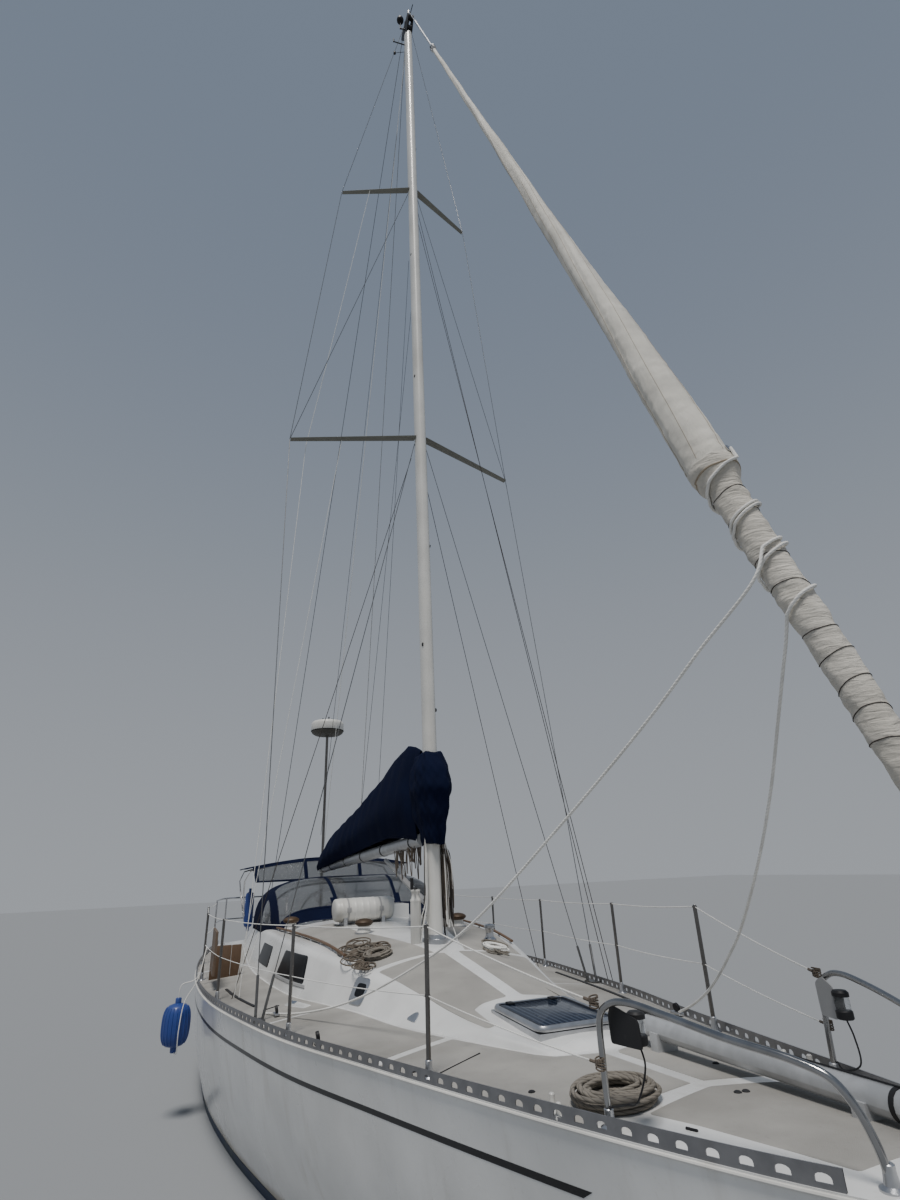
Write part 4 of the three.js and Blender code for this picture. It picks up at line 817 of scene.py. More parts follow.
def glass(wires, shader, look):
    """Panes: a dusty film over a dark or a clear sheet, and for the hatch faint stripes across it."""
    colour, rough, clear, stripes, film = look
    age = wires.add("Group", {"node_tree": group("Weathering", [("Scale", 1.0)], AGES, weathering)})
    dust = wires.sum("ADD", wires.sum("MULTIPLY", age.outputs["Patches"], 0.12 * film),
                     wires.sum("MULTIPLY", age.outputs["Specks"], 0.1 * film))
    tint = wires.mix(dust, colour, (0.4, 0.4, 0.38))
    if stripes:
        bands = wires.bands("Y", 9.0, 0.6)
        tint = wires.mix(wires.sum("MULTIPLY", wires.step(bands, 0.55, 0.9), 0.3), tint, (0.12, 0.15, 0.2))
    slow = wires.noise((1, 1, 1), 6.0, 2.0)
    ripples = wires.add("Bump", Strength=0.08, Distance=0.01, Height=slow).outputs[0]
    roughness = wires.sum("ADD", wires.sum("MULTIPLY", dust, 1.6), rough)
    for title, value in (("Base Color", tint), ("Roughness", roughness), ("Transmission Weight", clear),
            ("Specular IOR Level", 0.22), ("IOR", 1.15 if clear else 1.45), ("Normal", ripples)):
        wires.feed(shader.inputs[title], value)


def section(x, count):
    """One side of the hull at each x, keel to deck edge: a superellipse round the bilge, then the side."""
    lines = row(HULL_LINES, x)
    keel, bilge, bilge_half, half = (lines[..., k][..., None] for k in (1, 2, 3, 4))
    edge = sheer(np.asarray(x, float))[..., None]
    angle = np.radians([0, 24, 46, 68, 90])
    low_y = bilge_half * np.sin(angle) ** 0.85
    low_z = bilge - (bilge - keel) * np.abs(np.cos(angle)) ** 0.9
    y = np.concatenate([low_y, bilge_half + (half - bilge_half) * 0.6, half], -1)
    z = np.concatenate([low_z, bilge + (edge - bilge) * 0.42, edge], -1)
    return smooth(np.stack([np.broadcast_to(np.asarray(x, float)[..., None], y.shape), y, z], -1), count)


def side_at(x, z):
    """The hull's half-breadth at each x and height, read off the sections."""
    rings = section(np.asarray(x, float), 90)
    heights = np.broadcast_to(z, len(rings))
    return np.array([np.interp(h, ring[:, 2], ring[:, 1]) for ring, h in zip(rings, heights)])


def hull_body():
    """The hull closed by its deck: at each station both sides, and the deck's parabola between them."""
    xs = STEM_X + (STERN_X - STEM_X) * np.linspace(0, 1, 110) ** 1.12
    side = section(xs, 40)
    right = side * (1, -1, 1)
    across = np.linspace(-1, 1, 25)[1:-1] * deck_half(xs)[:, None]
    over = np.stack([np.broadcast_to(xs[:, None], across.shape), across, deck_z(xs[:, None], across)], -1)
    rings = np.concatenate([right, over, side[:, :0:-1]], 1)
    return Shape().grid(rings, wrap=True, ends=True, flip=True)


def bottom_paint():
    """The hull's own sections up to the boot line, moved 2 mm outwards, with the edge turned in."""
    xs = np.linspace(4.22, -6.13, 100)
    port = []
    for ring in section(xs, 120):
        top = np.interp(BOOT_Z, ring[:, 2], np.arange(120))
        at = np.linspace(0, top, 26)
        port.append(np.stack([np.interp(at, np.arange(120), ring[:, k]) for k in range(3)], -1))
    port = np.array(port)
    rings = np.concatenate([port[:, :0:-1] * (1, -1, 1), port], 1)
    out = unit(np.cross(np.gradient(rings, axis=1), np.gradient(rings, axis=0)))
    out[:, 25] = (0, 0, -1)
    shell = rings + 0.002 * out
    inside = rings - 0.004 * out
    closed = np.concatenate([inside[:, :1], shell, inside[:, -1:], inside[:, ::-1][:, 1:-1]], 1)
    return Shape().grid(closed, wrap=True, ends=True)


def strip_on_side(x_from, x_to, drop, height, slant, lift=0.0012, count=90):
    """A flat band along the topside, that far below the deck edge, its lower edge set back by the slant."""
    xs = np.linspace(x_from, x_to, count)
    rings = []
    for share, out in ((0, -0.002), (0, lift), (0.5, lift), (1, lift), (1, -0.002)):
        at = xs - slant * (1 - share) * np.linspace(1, 0, count)
        z = sheer(at) - drop + (share - 0.5) * height
        rings.append(np.stack([at, side_at(at, z) + out, z], -1))
    return Shape().grid(np.stack(rings, 1), wrap=True, ends=True)


def mirrored(shape):
    """The piece with its reflection in the centreline added, its faces turned to look out too."""
    points = np.concatenate(shape.points) * (1, -1, 1)
    places, marks = np.concatenate(shape.places), np.concatenate(shape.marks)
    faces, sizes = shape.faces, [len(face) for face in shape.faces]
    start = np.concatenate([[0], np.cumsum(sizes)])
    order = np.concatenate([np.arange(a, b)[::-1] for a, b in zip(start[:-1], start[1:])])
    shift = shape.count
    shape.faces = faces + [[k + shift for k in face[::-1]] for face in faces]
    shape.points = [np.concatenate(shape.points), points]
    shape.places = [places, places[order]]
    shape.marks = [marks, marks]
    shape.count *= 2
    return shape


def band(inner, outer, surface, columns=8):
    """A thin panel between two lines of the same length, its four edges let down into the surface."""
    inner, outer = np.asarray(inner, float), np.asarray(outer, float)
    share = np.concatenate([[0], np.linspace(0, 1, columns), [1]])
    flat = inner[:, None] + share[None, :, None] * (outer - inner)[:, None]
    flat = np.concatenate([flat[:1], flat, flat[-1:]], 0)
    lifts = np.full(flat.shape[:2], PANEL_LIFT)
    lifts[[0, -1]] = lifts[:, 0] = lifts[:, -1] = -0.003
    a, b = flat[..., 0], flat[..., 1]
    return Shape().grid(np.stack([a, b, surface(a, b) + lifts], -1))


def laid(xs, ys, count):
    """Count points along a line of corners given by their x and y."""
    line = np.stack([xs, ys, np.zeros(len(xs))], -1).astype(float)
    return evenly(line, count)[:, :2]


def on_deck(a, b):
    """Points on the deck above each x and y."""
    return np.stack([a, b, deck_z(a, b)], -1)


def on_roof(a, b):
    """Points on the coachroof above each x and y."""
    return np.stack([a, b, roof_z(a, b)], -1)


def on_roof_side(a, s):
    """The starboard side of the coachroof: metres up it from its foot."""
    lines = row(ROOF_LINES, a)
    foot, edge, height = lines[..., 1], lines[..., 2], lines[..., 3]
    low = sheer(a) + 0.03
    long = np.hypot(foot - edge, height - low)
    share = s / long
    return np.stack([a, -(foot + (edge - foot) * share), low + (height - low) * share], -1)


def roof_section(x):
    """Foot, side, a rounded shoulder and the crowned top of the coachroof, from starboard to port."""
    lines = row(ROOF_LINES, x)
    foot, edge, height, crown = (lines[..., k][..., None] for k in (1, 2, 3, 4))
    low = sheer(np.asarray(x, float))[..., None] + 0.03
    slope = np.stack([foot - edge, height - low], -1)
    long = np.linalg.norm(slope, axis=-1)
    fillet = np.minimum(0.05, 0.3 * long)
    share = np.linspace(0, 1, 5)[None, :] * (1 - fillet / long)
    side_y, side_z = foot + (edge - foot) * share, low + (height - low) * share
    inner = 1 - fillet / edge
    t = np.linspace(0, 1, 8)[None, 1:-1]
    start = np.stack([side_y[:, -1:], side_z[:, -1:]], -1)
    corner = np.stack([edge, height], -1)
    end = np.stack([edge * inner, height + (crown - height) * (1 - inner**2)], -1)
    t = t[..., None]
    arc = (1 - t) ** 2 * start + 2 * t * (1 - t) * corner + t**2 * end
    across = np.linspace(1, -1, 28)[None, :] * inner
    over_y, over_z = edge * across, height + (crown - height) * (1 - across**2)
    half_y, half_z = np.concatenate([side_y, arc[..., 0]], -1), np.concatenate([side_z, arc[..., 1]], -1)
    y = np.concatenate([-half_y, -over_y, half_y[:, ::-1]], -1)
    z = np.concatenate([half_z, over_z, half_z[:, ::-1]], -1)
    return np.stack([np.broadcast_to(np.asarray(x, float)[..., None], y.shape), y, z], -1)


def coachroof_body():
    """The coachroof's sections one after another, closed below the deck and at its aft face."""
    xs = np.concatenate([[2.548, 2.545], np.linspace(2.54, 2.4, 8), np.linspace(2.36, ROOF_AFT_X, 70)])
    rings = roof_section(xs)
    rings[0, :, 2] = rings[0, :, 2] * 0 + sheer(2.54) + 0.03
    rings[1, :, 2] = rings[1, :, 2] * 0.5 + 0.5 * (sheer(2.54) + 0.03)
    low = rings[:, [0, -1]].copy()
    low[..., 2] -= 0.12
    rings = np.concatenate([low[:, :1], rings, low[:, 1:]], 1)
    return Shape().grid(rings, wrap=True, ends=True, flip=True)


def coaming_body():
    """Starboard cockpit coaming: one section that narrows and drops aft along its length."""
    xs = np.linspace(ROOF_AFT_X + 0.06, COCKPIT_AFT_X, 24)
    share = (ROOF_AFT_X - xs) / (ROOF_AFT_X - COCKPIT_AFT_X)
    outer, top = 1.262 - 0.13 * share, 1.604 - 0.17 * share
    rings = []
    for x, o, t in zip(xs, outer, top):
        corners = [(o, 1.1), (o, deck_z(x, o) + 0.02), (o - 0.11, t), (COAMING_INNER, t),
            (COAMING_INNER, 1.1)]
        ring = rounded(corners, [0.002, 0.03, 0.05, 0.035, 0.002], 6)
        rings.append(np.column_stack([np.full(len(ring), x), -ring[:, 0], ring[:, 1]]))
    return Shape().grid(np.array(rings), wrap=True, ends=True, flip=True)


def add_panels():
    """Non-skid panels on the side decks and the foredeck, with white lines left between them."""
    rail = lambda xs: deck_half(np.asarray(xs, float)) - 0.022
    foot = lambda xs: row(ROOF_LINES, np.asarray(xs, float))[..., 1] + 0.012
    aft, aft_out = np.linspace(-3.3, 0.10, 40), np.linspace(-3.3, 0.255, 40)
    middle, middle_out = np.linspace(0.15, 1.70, 30), np.linspace(0.305, 1.875, 30)
    ahead = np.concatenate([np.linspace(1.77, 2.4, 14), [2.5, 2.58], np.linspace(2.62, 3.24, 14)])
    inner = np.where(ahead < 2.45, foot(np.minimum(ahead, 2.45)), 0.036)
    inner[(ahead > 2.45) & (ahead < 2.6)] = (0.27, 0.06)
    cockpit = np.linspace(-3.42, -5.8, 24)
    share = (ROOF_AFT_X - cockpit) / (ROOF_AFT_X - COCKPIT_AFT_X)
    whole = Shape()
    for xs, half, out, columns in ((aft, foot(aft), aft_out, 7), (middle, foot(middle), middle_out, 7),
            (ahead, inner, np.linspace(1.945, 3.372, 30), 9), (cockpit, 1.275 - 0.13 * share, cockpit, 6)):
        near, far = np.stack([xs, -half], -1), np.stack([out, -rail(out)], -1)
        whole.join(mirrored(band(near, far, deck_z, columns)))
    bow = [(3.318, 0.0), (3.395, -0.28), (3.43, -0.40), (3.637, -0.335), (3.999, -0.258), (4.181, -0.226)]
    bow = np.array(bow + [(x, -y) for x, y in bow[:0:-1]])
    whole.patch(rounded(bow, 0.02, 4), on_deck, PANEL_LIFT, middle=(3.75, 0.0))
    whole.made("deck_nonskid", "nonskid", outward=True)


def add_slats():
    """Teak slats on the seats and the cockpit sole."""
    slats = Shape()
    count = chosen()[1].slats
    width = (SEAT_HALF - SOLE_HALF) / count
    for k in range(count):
        y = SOLE_HALF + k * width
        for sign in (1, -1):
            low, high = sorted((sign * (y + 0.003), sign * (y + width - 0.003)))
            slats.block((SOLE_AFT_X, low, SEAT_Z - 0.001), (ROOF_AFT_X - 0.06, high, SEAT_Z + 0.01), 0.002)
    for k in range(11):
        y = -0.33 + k * 0.06
        slats.block((SOLE_AFT_X + 0.03, y + 0.002, SOLE_Z - 0.001),
            (ROOF_AFT_X - 0.06, y + 0.058, SOLE_Z + 0.006), 0.002)
    slats.made("cockpit_slats", "teak")


class YACHT_OT_hull(bpy.types.Operator):
    """Hull, bottom paint, the stripe under the rail, the deck's non-skid panels and the cockpit's slats"""
    bl_idname = "yacht.hull"
    bl_label = "Hull and deck"

    def execute(self, context):
        body = hull_body().made("hull_body", "topsides", merge=1e-5, outward=True, sharp=40)
        wells = [
            ((COCKPIT_AFT_X, -SEAT_HALF, SEAT_Z), (ROOF_AFT_X - 0.03, SEAT_HALF, 1.9)),
            ((SOLE_AFT_X, -SOLE_HALF, SOLE_Z), (ROOF_AFT_X - 0.03, SOLE_HALF, 1.89)),
            ((ROOF_AFT_X + 0.04, -WAY_HALF, WAY_FLOOR_Z), (WAY_FORWARD_X, WAY_HALF, 1.88)),
            ((ROOF_AFT_X - 0.04, -WAY_HALF, SILL_Z), (WAY_FORWARD_X, WAY_HALF, 1.87)),
            HATCH_HOLE,
            ((-0.9, -1.7, -1.6), (0, 1.7, 0.4)),
        ]
        carved(body, wells, lambda c: turned(c, "Y", -TRANSOM_RAKE) + (TRANSOM_X, 0, sheer(TRANSOM_X)))
        shade(body.data, 40)
        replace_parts(body, "hull", "deck")
        bottom_paint().made("bottom_paint", "bottom", merge=1e-5, outward=True)
        stripe = mirrored(strip_on_side(3.35, -6.1, 0.21, 0.028, 0.05))
        stripe.made("sheer_stripe", "stripe", outward=True)
        add_panels()
        add_slats()
        return {"FINISHED"}


def add_windows():
    """On each side two dark windows, a sill under one, a portlight in its frame and a small vent."""
    dark, pale, metal = Shape(), Shape(), Shape()
    for shape, corners, radius, steps, lift, depth in (
        (dark, [(-1.46, 0.125), (-0.54, 0.125), (-0.62, 0.345), (-1.38, 0.345)], 0.035, 6, 0.004, 0.006),
        (dark, [(0.345, 0.115), (0.475, 0.115), (0.475, 0.215), (0.345, 0.215)], 0.035, 6, 0.009, 0.01),
        (dark, [(-2.66, 0.13), (-1.96, 0.13), (-2.02, 0.33), (-2.6, 0.33)], 0.035, 6, 0.004, 0.006),
        (pale, [(-1.5, 0.095), (-0.48, 0.095), (-0.5, 0.122), (-1.48, 0.122)], 0.01, 4, 0.008, 0.01),
        (metal, [(0.29, 0.06), (0.5, 0.06), (0.5, 0.255), (0.29, 0.255)], 0.05, 7, 0.007, 0.009),
        (metal, [(1.16, 0.08), (1.29, 0.07), (1.24, 0.145), (1.2, 0.15)], 0.03, 6, 0.006, 0.008),
    ):
        shape.patch(rounded(corners, radius, steps), on_roof_side, lift, depth)
    dark.pair("side_windows", "smoked")
    pale.pair("window_sills", "grey")
    metal.pair("portlight_frames", "alloy")


def add_vents():
    """Low round vents: a flared cup turned about its axis, in a metal ring and under a brass cap."""
    vents, mouths, caps = Shape(), Shape(), Shape()
    for x, y in ((-2.26, -0.93), (-0.9, -0.42), (-1.05, 0.64)):
        base = (x, y, roof_z(x, y) - 0.01)
        vents.lathe([(0.08, 0), (0.08, 0.014), (0.066, 0.034), (0.056, 0.058), (0.06, 0.078),
            (0.05, 0.08)], base, sides=32)
        mouths.lathe([(0.092, 0), (0.092, 0.016), (0.078, 0.02)], base, sides=32)
        caps.lathe([(0.05, 0.07), (0.072, 0.078), (0.088, 0.094), (0.09, 0.106), (0.082, 0.118),
            (0.06, 0.13), (0.03, 0.137), (0.01, 0.139)], base, sides=32)
    vents.made("vents", "white")
    caps.made("vent_caps", "old_brass")
    mouths.made("vent_rings", "alloy")


def add_top_panels():
    """Non-skid on the coachroof beside a white centre band, and forward along the hatch."""
    whole = Shape()
    corners = np.array([(0.37, -0.065), (0.46, -0.645), (0.803, -0.565), (1.219, -0.48), (1.6, -0.425),
        (1.93, -0.39), (1.93, -0.335), (1.6, -0.34), (1.54, -0.25), (1.52, -0.055)])
    for side in (1, -1):
        outline = rounded(corners, 0.03, 4) * (1, side)
        whole.patch(outline[::side], on_roof, PANEL_LIFT, middle=(1.2, -0.365 * side))
    line_in = laid([-2.0, -1.0, 0.34], [-0.50, -0.44, -0.14], 30)
    line_out = laid([-2.0, -1.0, -0.1, 0.38], [-1.02, -0.9, -0.74, -0.64], 30)
    whole.join(mirrored(band(line_in, line_out, roof_z)))
    whole.made("roof_nonskid", "nonskid", outward=True)


def add_grab_rails():
    """A wooden rail on studs along each side of the roof, its path a shallow curve over the crown."""
    rails, studs = Shape(), Shape()
    xs, ys = np.linspace(-2.46, -0.08, 60), np.linspace(-1.055, -0.79, 60)
    height = roof_z(xs, ys) + 0.028
    section_line = rounded([(-0.014, -0.009), (0.014, -0.009), (0.014, 0.009), (-0.014, 0.009)], 0.007, 4)
    rings = np.stack([xs, ys, height], -1)[:, None] + np.stack(
        [np.zeros(len(section_line)), section_line[:, 0], section_line[:, 1]], -1)[None]
    rails.grid(rings, wrap=True, ends=True)
    for k in range(2, 60, 8):
        studs.lathe([(0.013, 0), (0.011, 0.01), (0.01, 0.03)], (xs[k], ys[k], height[k] - 0.03), sides=14)
        studs.lathe([(0.006, 0), (0.005, 0.003), (0.001, 0.004)], (xs[k], ys[k], height[k] + 0.008),
            sides=10)
    rails.pair("grab_rails", "board")
    studs.pair("grab_rail_studs", "steel")


class YACHT_OT_coachroof(bpy.types.Operator):
    """Coachroof with its windows, vents, grab rails and non-skid, and the coamings"""
    bl_idname = "yacht.coachroof"
    bl_label = "Coachroof"

    def execute(self, context):
        body = coachroof_body().made("coachroof_body", "gelcoat", merge=1e-5, outward=True)
        carved(body, [
            ((ROOF_AFT_X - 0.04, -WAY_HALF, WAY_FLOOR_Z), (WAY_FORWARD_X, WAY_HALF, 1.88)),
            HATCH_HOLE,
        ])
        shade(body.data, 35)
        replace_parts(body, "coachroof")
        coaming_body().pair("coamings", "gelcoat")
        add_windows()
        add_vents()
        add_top_panels()
        add_grab_rails()
        return {"FINISHED"}


def add_lid():
    """A rounded metal frame round a dark pane, with a black gasket, in the lid's own tilted frame."""
    wide, long = HATCH_HALF, (HATCH_X[1] - HATCH_X[0]) / 2
    outline = rounded([(-long, -wide), (long, -wide), (long, wide), (-long, wide)], 0.075, 9)
    rim, pane, gasket = Shape(), Shape(), Shape()
    levels = [(0.0, 0.004), (-0.001, 0.012), (0.002, 0.022), (0.008, 0.03), (0.018, 0.032),
        (0.026, 0.029), (0.029, 0.024), (0.029, 0.004), (0.0, 0.004)]
    rim.grid(stacked(outline, levels, on_hatch), wrap=True)
    gasket.frame(inset(outline, 0.028), 0.009, 0.006, 0.0285, 0.001, on_hatch)
    pane.slab(inset(outline, 0.036), 0.006, 0.0265, 0.002, on_hatch)
    rim.made("hatch_rim", "alloy", "hatch_lid", merge=1e-5)
    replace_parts(bpy.data.objects["hatch_rim"], "hatch_lid")
    gasket.made("hatch_gasket", "rubber", "hatch_lid", merge=1e-5)
    pane.made("hatch_pane", "hatch_pane", "hatch_lid")
    handles = Shape()
    for y in (-0.15, 0.15):
        handles.block((-long + 0.02, y - 0.022, 0.0265), (-long + 0.075, y + 0.022, 0.036), 0.003, on_hatch)
    handles.made("hatch_latches", "black", "hatch_lid")


class YACHT_OT_hatches(bpy.types.Operator):
    """Foredeck hatch, the sliding hatch in its garage and the washboard"""
    bl_idname = "yacht.hatches"
    bl_label = "Hatches"

    def execute(self, context):
        for node, look, body in (("hatch_frame", "alloy", "hull"), ("hatch_garage", "gelcoat", "hull"),
                ("sliding_hatch", "smoked", "sliding_hatch"), ("washboard", "teak", "hull")):
            refined(node, look, body, bevel=0.004)
        add_lid()
        return {"FINISHED"}


def rail_line(xs):
    """The starboard deck edge moved 6 mm inboard."""
    return np.stack([xs, -(deck_half(xs) - 0.006), sheer(xs)], -1)


def toe_rail():
    """Starboard rail: a cell with an arched hole, repeated along the deck edge and bent to it."""
    pitch, count = 0.104, 101
    arch = np.radians(np.linspace(0, 180, 7))
    over = np.stack([0.022 * np.cos(arch), 0.026 + 0.012 * np.sin(arch)], -1)
    hole = np.concatenate([[(0.022, 0.014)], over, [(-0.022, 0.014)]])
    half = pitch / 2
    outer = np.array([(half, 0.0), (half, 0.026), (half, RAIL_HEIGHT), (0.03, RAIL_HEIGHT),
        (0, RAIL_HEIGHT), (-0.03, RAIL_HEIGHT), (-half, RAIL_HEIGHT), (-half, 0.026), (-half, 0.0)])
    n = len(hole)
    flat = np.concatenate([np.column_stack([line, np.full(n, w)]) for line in (outer, hole)
                           for w in (-0.003, 0.003)])
    k = np.arange(n)
    nxt = (k + 1) % n
    front = np.stack([k, nxt, 2 * n + nxt, 2 * n + k], -1)
    back = np.stack([n + nxt, n + k, 3 * n + k, 3 * n + nxt], -1)
    wall = np.stack([2 * n + k, 2 * n + nxt, 3 * n + nxt, 3 * n + k], -1)
    top = np.stack([nxt, k, n + k, n + nxt], -1)[2:6]
    faces = np.concatenate([front, back, wall, top])
    middles = 4.24 - pitch * (np.arange(count) + 0.5)
    u = middles[:, None] + flat[:, 0]
    base = rail_line(u.ravel())
    ahead = unit(rail_line(u.ravel() + 1e-3) - base)
    out = unit(np.cross(ahead, (0, 0, 1)))
    high = np.tile(flat[:, 1], count)[:, None] * (0, 0, 1)
    points = base + out * np.tile(flat[:, 2], count)[:, None] + high
    whole = (faces[None] + (np.arange(count) * len(flat))[:, None, None]).reshape(-1, 4)
    return Shape().put(points, whole)


def add_stanchions():
    """Tubes in sockets along the deck edge, two sagging lines through them, lashed at their fore ends."""
    tubes, lines, lash, bases = Shape(), Shape(), Shape(), Shape()
    xs = np.array(STANCHION_XS)
    y = -(deck_half(xs) - STANCHION_INSET)
    deck = deck_z(xs, y)
    tops = deck + STANCHION_HEIGHT
    for k, x in enumerate(xs):
        tubes.lathe([(0.0125, 0), (0.0125, 0.66), (0.0115, 0.672), (0.006, 0.68)], (x, y[k], deck[k]),
            sides=18)
        for height in (0.35, 0.668):
            tubes.lathe([(0.014, -0.006), (0.0155, 0), (0.014, 0.006)], (x, y[k], deck[k] + height),
                sides=18)
        bases.lathe([(0.038, 0), (0.038, 0.006), (0.024, 0.012), (0.0175, 0.05), (0.0175, 0.075),
            (0.014, 0.078)], (x, y[k], deck[k] - 0.002), sides=24)
        for angle in (0.8, 2.4, 3.9, 5.5):
            bases.lathe([(0.004, 0), (0.0035, 0.003), (0.001, 0.004)],
                (x + 0.031 * math.cos(angle), y[k] + 0.031 * math.sin(angle), deck[k] + 0.004), sides=8)
    last = np.array([-5.35, -(deck_half(-5.35) - STANCHION_INSET), sheer(-5.35) + 0.67])
    first = np.array([3.44, -0.596, sheer(3.44) + 0.404])
    for drop, radius in ((0.012, 0.0035), (0.33, 0.003)):
        start = first - (0, 0, 0 if drop < 0.1 else 0.2)
        posts = np.stack([xs, y, tops - drop], -1)
        posts = np.vstack([start, posts, last - (0, 0, drop)])
        share = np.linspace(0, 1, 9)[:-1, None]
        sag = np.array([0, 0, 0.012]) * (1 - (2 * share - 1) ** 2)
        spans = [a + share * (b - a) - sag for a, b in zip(posts[:-1], posts[1:])]
        line = np.concatenate(spans + [posts[-1:]])
        lines.tube(line, radius, 8)
        for n in range(6):
            around = np.linspace(0, 2 * np.pi, 24)
            middle = line[0] + (0.004, -0.002, 0.018 - 0.0065 * n)
            ring = [0.017 * np.cos(around), 0.017 * np.sin(around), 0.004 * np.sin(around + n)]
            lash.tube(middle + np.stack(ring, -1), 0.003, 7)
        lash.tube(line[0] + (line[1] - line[0]) * np.linspace(0, 0.35, 8)[:, None], radius + 0.003, 8)
    # The stanchions take the steel whose dark colour is a painted reflection of dark water.
    tubes.pair("stanchions", "dark_steel")
    bases.pair("stanchion_bases", "alloy")
    wires = lines.pair("lifelines", "white_rope", slot="steel")
    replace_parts(wires, "guard_rail_port", "guard_rail_starboard")
    lash.pair("lifeline_lashings", "tie")


def add_pulpits():
    """Each half is one tube through measured points; a plate carries the lamp inside it."""
    points = np.array([(3.44, 0.58, 0.0), (3.446, 0.586, 0.2), (3.466, 0.588, 0.364), (3.53, 0.576, 0.406),
        (3.61, 0.556, 0.412), (3.76, 0.512, 0.384), (3.96, 0.44, 0.334), (4.15, 0.352, 0.29),
        (4.23, 0.312, 0.254), (4.274, 0.286, 0.186), (4.296, 0.262, 0.09), (4.3, 0.25, 0.0)])
    points[:, 2] += sheer(points[:, 0])
    tube, sockets = Shape(), Shape()
    tube.tube(through(points, 90) * (1, -1, 1), 0.0125, 18)
    for x, y in ((3.44, 0.58), (4.3, 0.25)):
        sockets.lathe([(0.036, 0), (0.036, 0.006), (0.022, 0.014), (0.018, 0.04), (0.018, 0.06),
            (0.0145, 0.063)], (x, -y, deck_z(x, y) - 0.003), sides=24)
    tubes = tube.pair("pulpits", "pulpit")
    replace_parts(tubes, "pulpit_port", "pulpit_starboard")
    sockets.pair("pulpit_sockets", "alloy")
    # The two lamp plates are one kind of plate: the starboard one takes the black look as painted shade, the
    # port one the grey look.
    add_lamp("starboard", -1, (3.57, -0.5, 1.602), "black",
        [(3.478, 1.598), (3.668, 1.612), (3.658, 1.7), (3.5, 1.725), (3.474, 1.69)])
    add_lamp("port", 1, (3.575, 0.56, 1.575), "grey", [(3.462, 1.575), (3.542, 1.567), (3.545, 1.69),
        (3.5, 1.725), (3.462, 1.7)])


def add_lamp(name, side, base, look, corners):
    """A rounded plate under the top tube, a lamp of turned rings round a lens, and its looping cable."""
    plate, lamp, lens = Shape(), Shape(), Shape()
    face = rounded(corners, 0.014, 5)
    upright = lambda p: np.column_stack([p[:, 0], side * 0.557 + p[:, 2], p[:, 1]])
    plate.slab(face[::-1], -0.003, 0.003, 0.0012, upright)
    base = np.array(base)
    lamp.lathe([(0.03, 0), (0.034, 0.004), (0.034, 0.03), (0.03, 0.034)], base, sides=28)
    lamp.lathe([(0.034, 0.085), (0.034, 0.1), (0.026, 0.108), (0.01, 0.11)], base, sides=28)
    low, high = (-0.034, 0.012) if side < 0 else (-0.012, 0.034)
    lamp.block(base + (-0.03, low, 0.02), base + (-0.018, high, 0.1))
    lens.lathe([(0.028, 0.03), (0.031, 0.06), (0.028, 0.088)], base, sides=28)
    ends = [base + (0, 0, 0.004), base + (0.02, 0, -0.06), base + (-0.01, side * 0.03, -0.17),
            base + (-0.09, side * 0.02, -0.2), (3.455, side * 0.588, sheer(3.45) + 0.07)]
    lamp.tube(through(np.array(ends), 40), 0.0035, 8)
    plate.made("lamp_plate_" + name, look, slot="black_plastic", outward=True)
    lamp.made("bow_lamp_" + name, "black", outward=True)
    lens.made("lamp_lens_" + name, "lens", outward=True)


class YACHT_OT_rails(bpy.types.Operator):
    """Toe rails, stanchions with lifelines, pulpit, pushpit and bow fitting"""
    bl_idname = "yacht.rails"
    bl_label = "Rails"

    def execute(self, context):
        rail = toe_rail().pair("toe_rails", "rail", merge=1e-5)
        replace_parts(rail, "toe_rail_port", "toe_rail_starboard")
        xs = np.linspace(4.5, -6.25, 120)
        bead = Shape().tube(np.stack([xs, -(deck_half(xs) + 0.001), sheer(xs) - 0.012], -1), 0.007, 8)
        bead.pair("rail_beads", "white")
        add_stanchions()
        add_pulpits()
        refined("bow_fitting", "steel", bevel=0.002)
        refined("pushpit", "steel")
        return {"FINISHED"}


def add_mast():
    """A rounded section carried up the raked axis, the luff track down its aft side, and fittings."""
    turn = np.linspace(0, 2 * np.pi, 36, endpoint=False)
    section_line = np.stack([MAST_LONG / 2 * np.sign(np.cos(turn)) * np.abs(np.cos(turn)) ** 0.9,
                             MAST_WIDE / 2 * np.sign(np.sin(turn)) * np.abs(np.sin(turn)) ** 0.8], -1)
    heights = np.linspace(MAST_FOOT_Z, CRANE_Z, 24)
    rings = np.stack([np.column_stack([section_line + (mast_x(z), 0), np.full(36, z)]) for z in heights])
    made = Shape().grid(rings, wrap=True, ends=True).made("mast_tube", "spar", sharp=50)
    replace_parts(made, "mast")
    track, dots = Shape(), Shape()
    low, high = 3.3, CRANE_Z - 0.06
    path = np.array([(mast_x(z) - MAST_LONG / 2 - 0.001, 0, z) for z in np.linspace(low, high, 30)])
    line = rounded([(-0.004, -0.011), (0.006, -0.011), (0.006, 0.011), (-0.004, 0.011)], 0.002, 3)
    track.grid(path[:, None] + np.column_stack([line, np.zeros(len(line))])[None], wrap=True, ends=True)
    track.made("luff_track", "rubber", outward=True)
    for z, x, y in ((8.1, 0.03, -1), (10.4, 0.02, -1), (12.9, 0.03, 1), (5.6, 0.04, 1), (4.4, 0.05, -1),
            (3.7, 0.05, 1)):
        at = np.array([mast_x(z) + x, y * MAST_WIDE * 0.46, z])
        dots.lathe([(0.02, 0), (0.018, 0.006), (0.006, 0.009)], at, axis=(0, y, 0), sides=16)
    dots.made("mast_fittings", "black")
    add_crane()
    add_halyards()


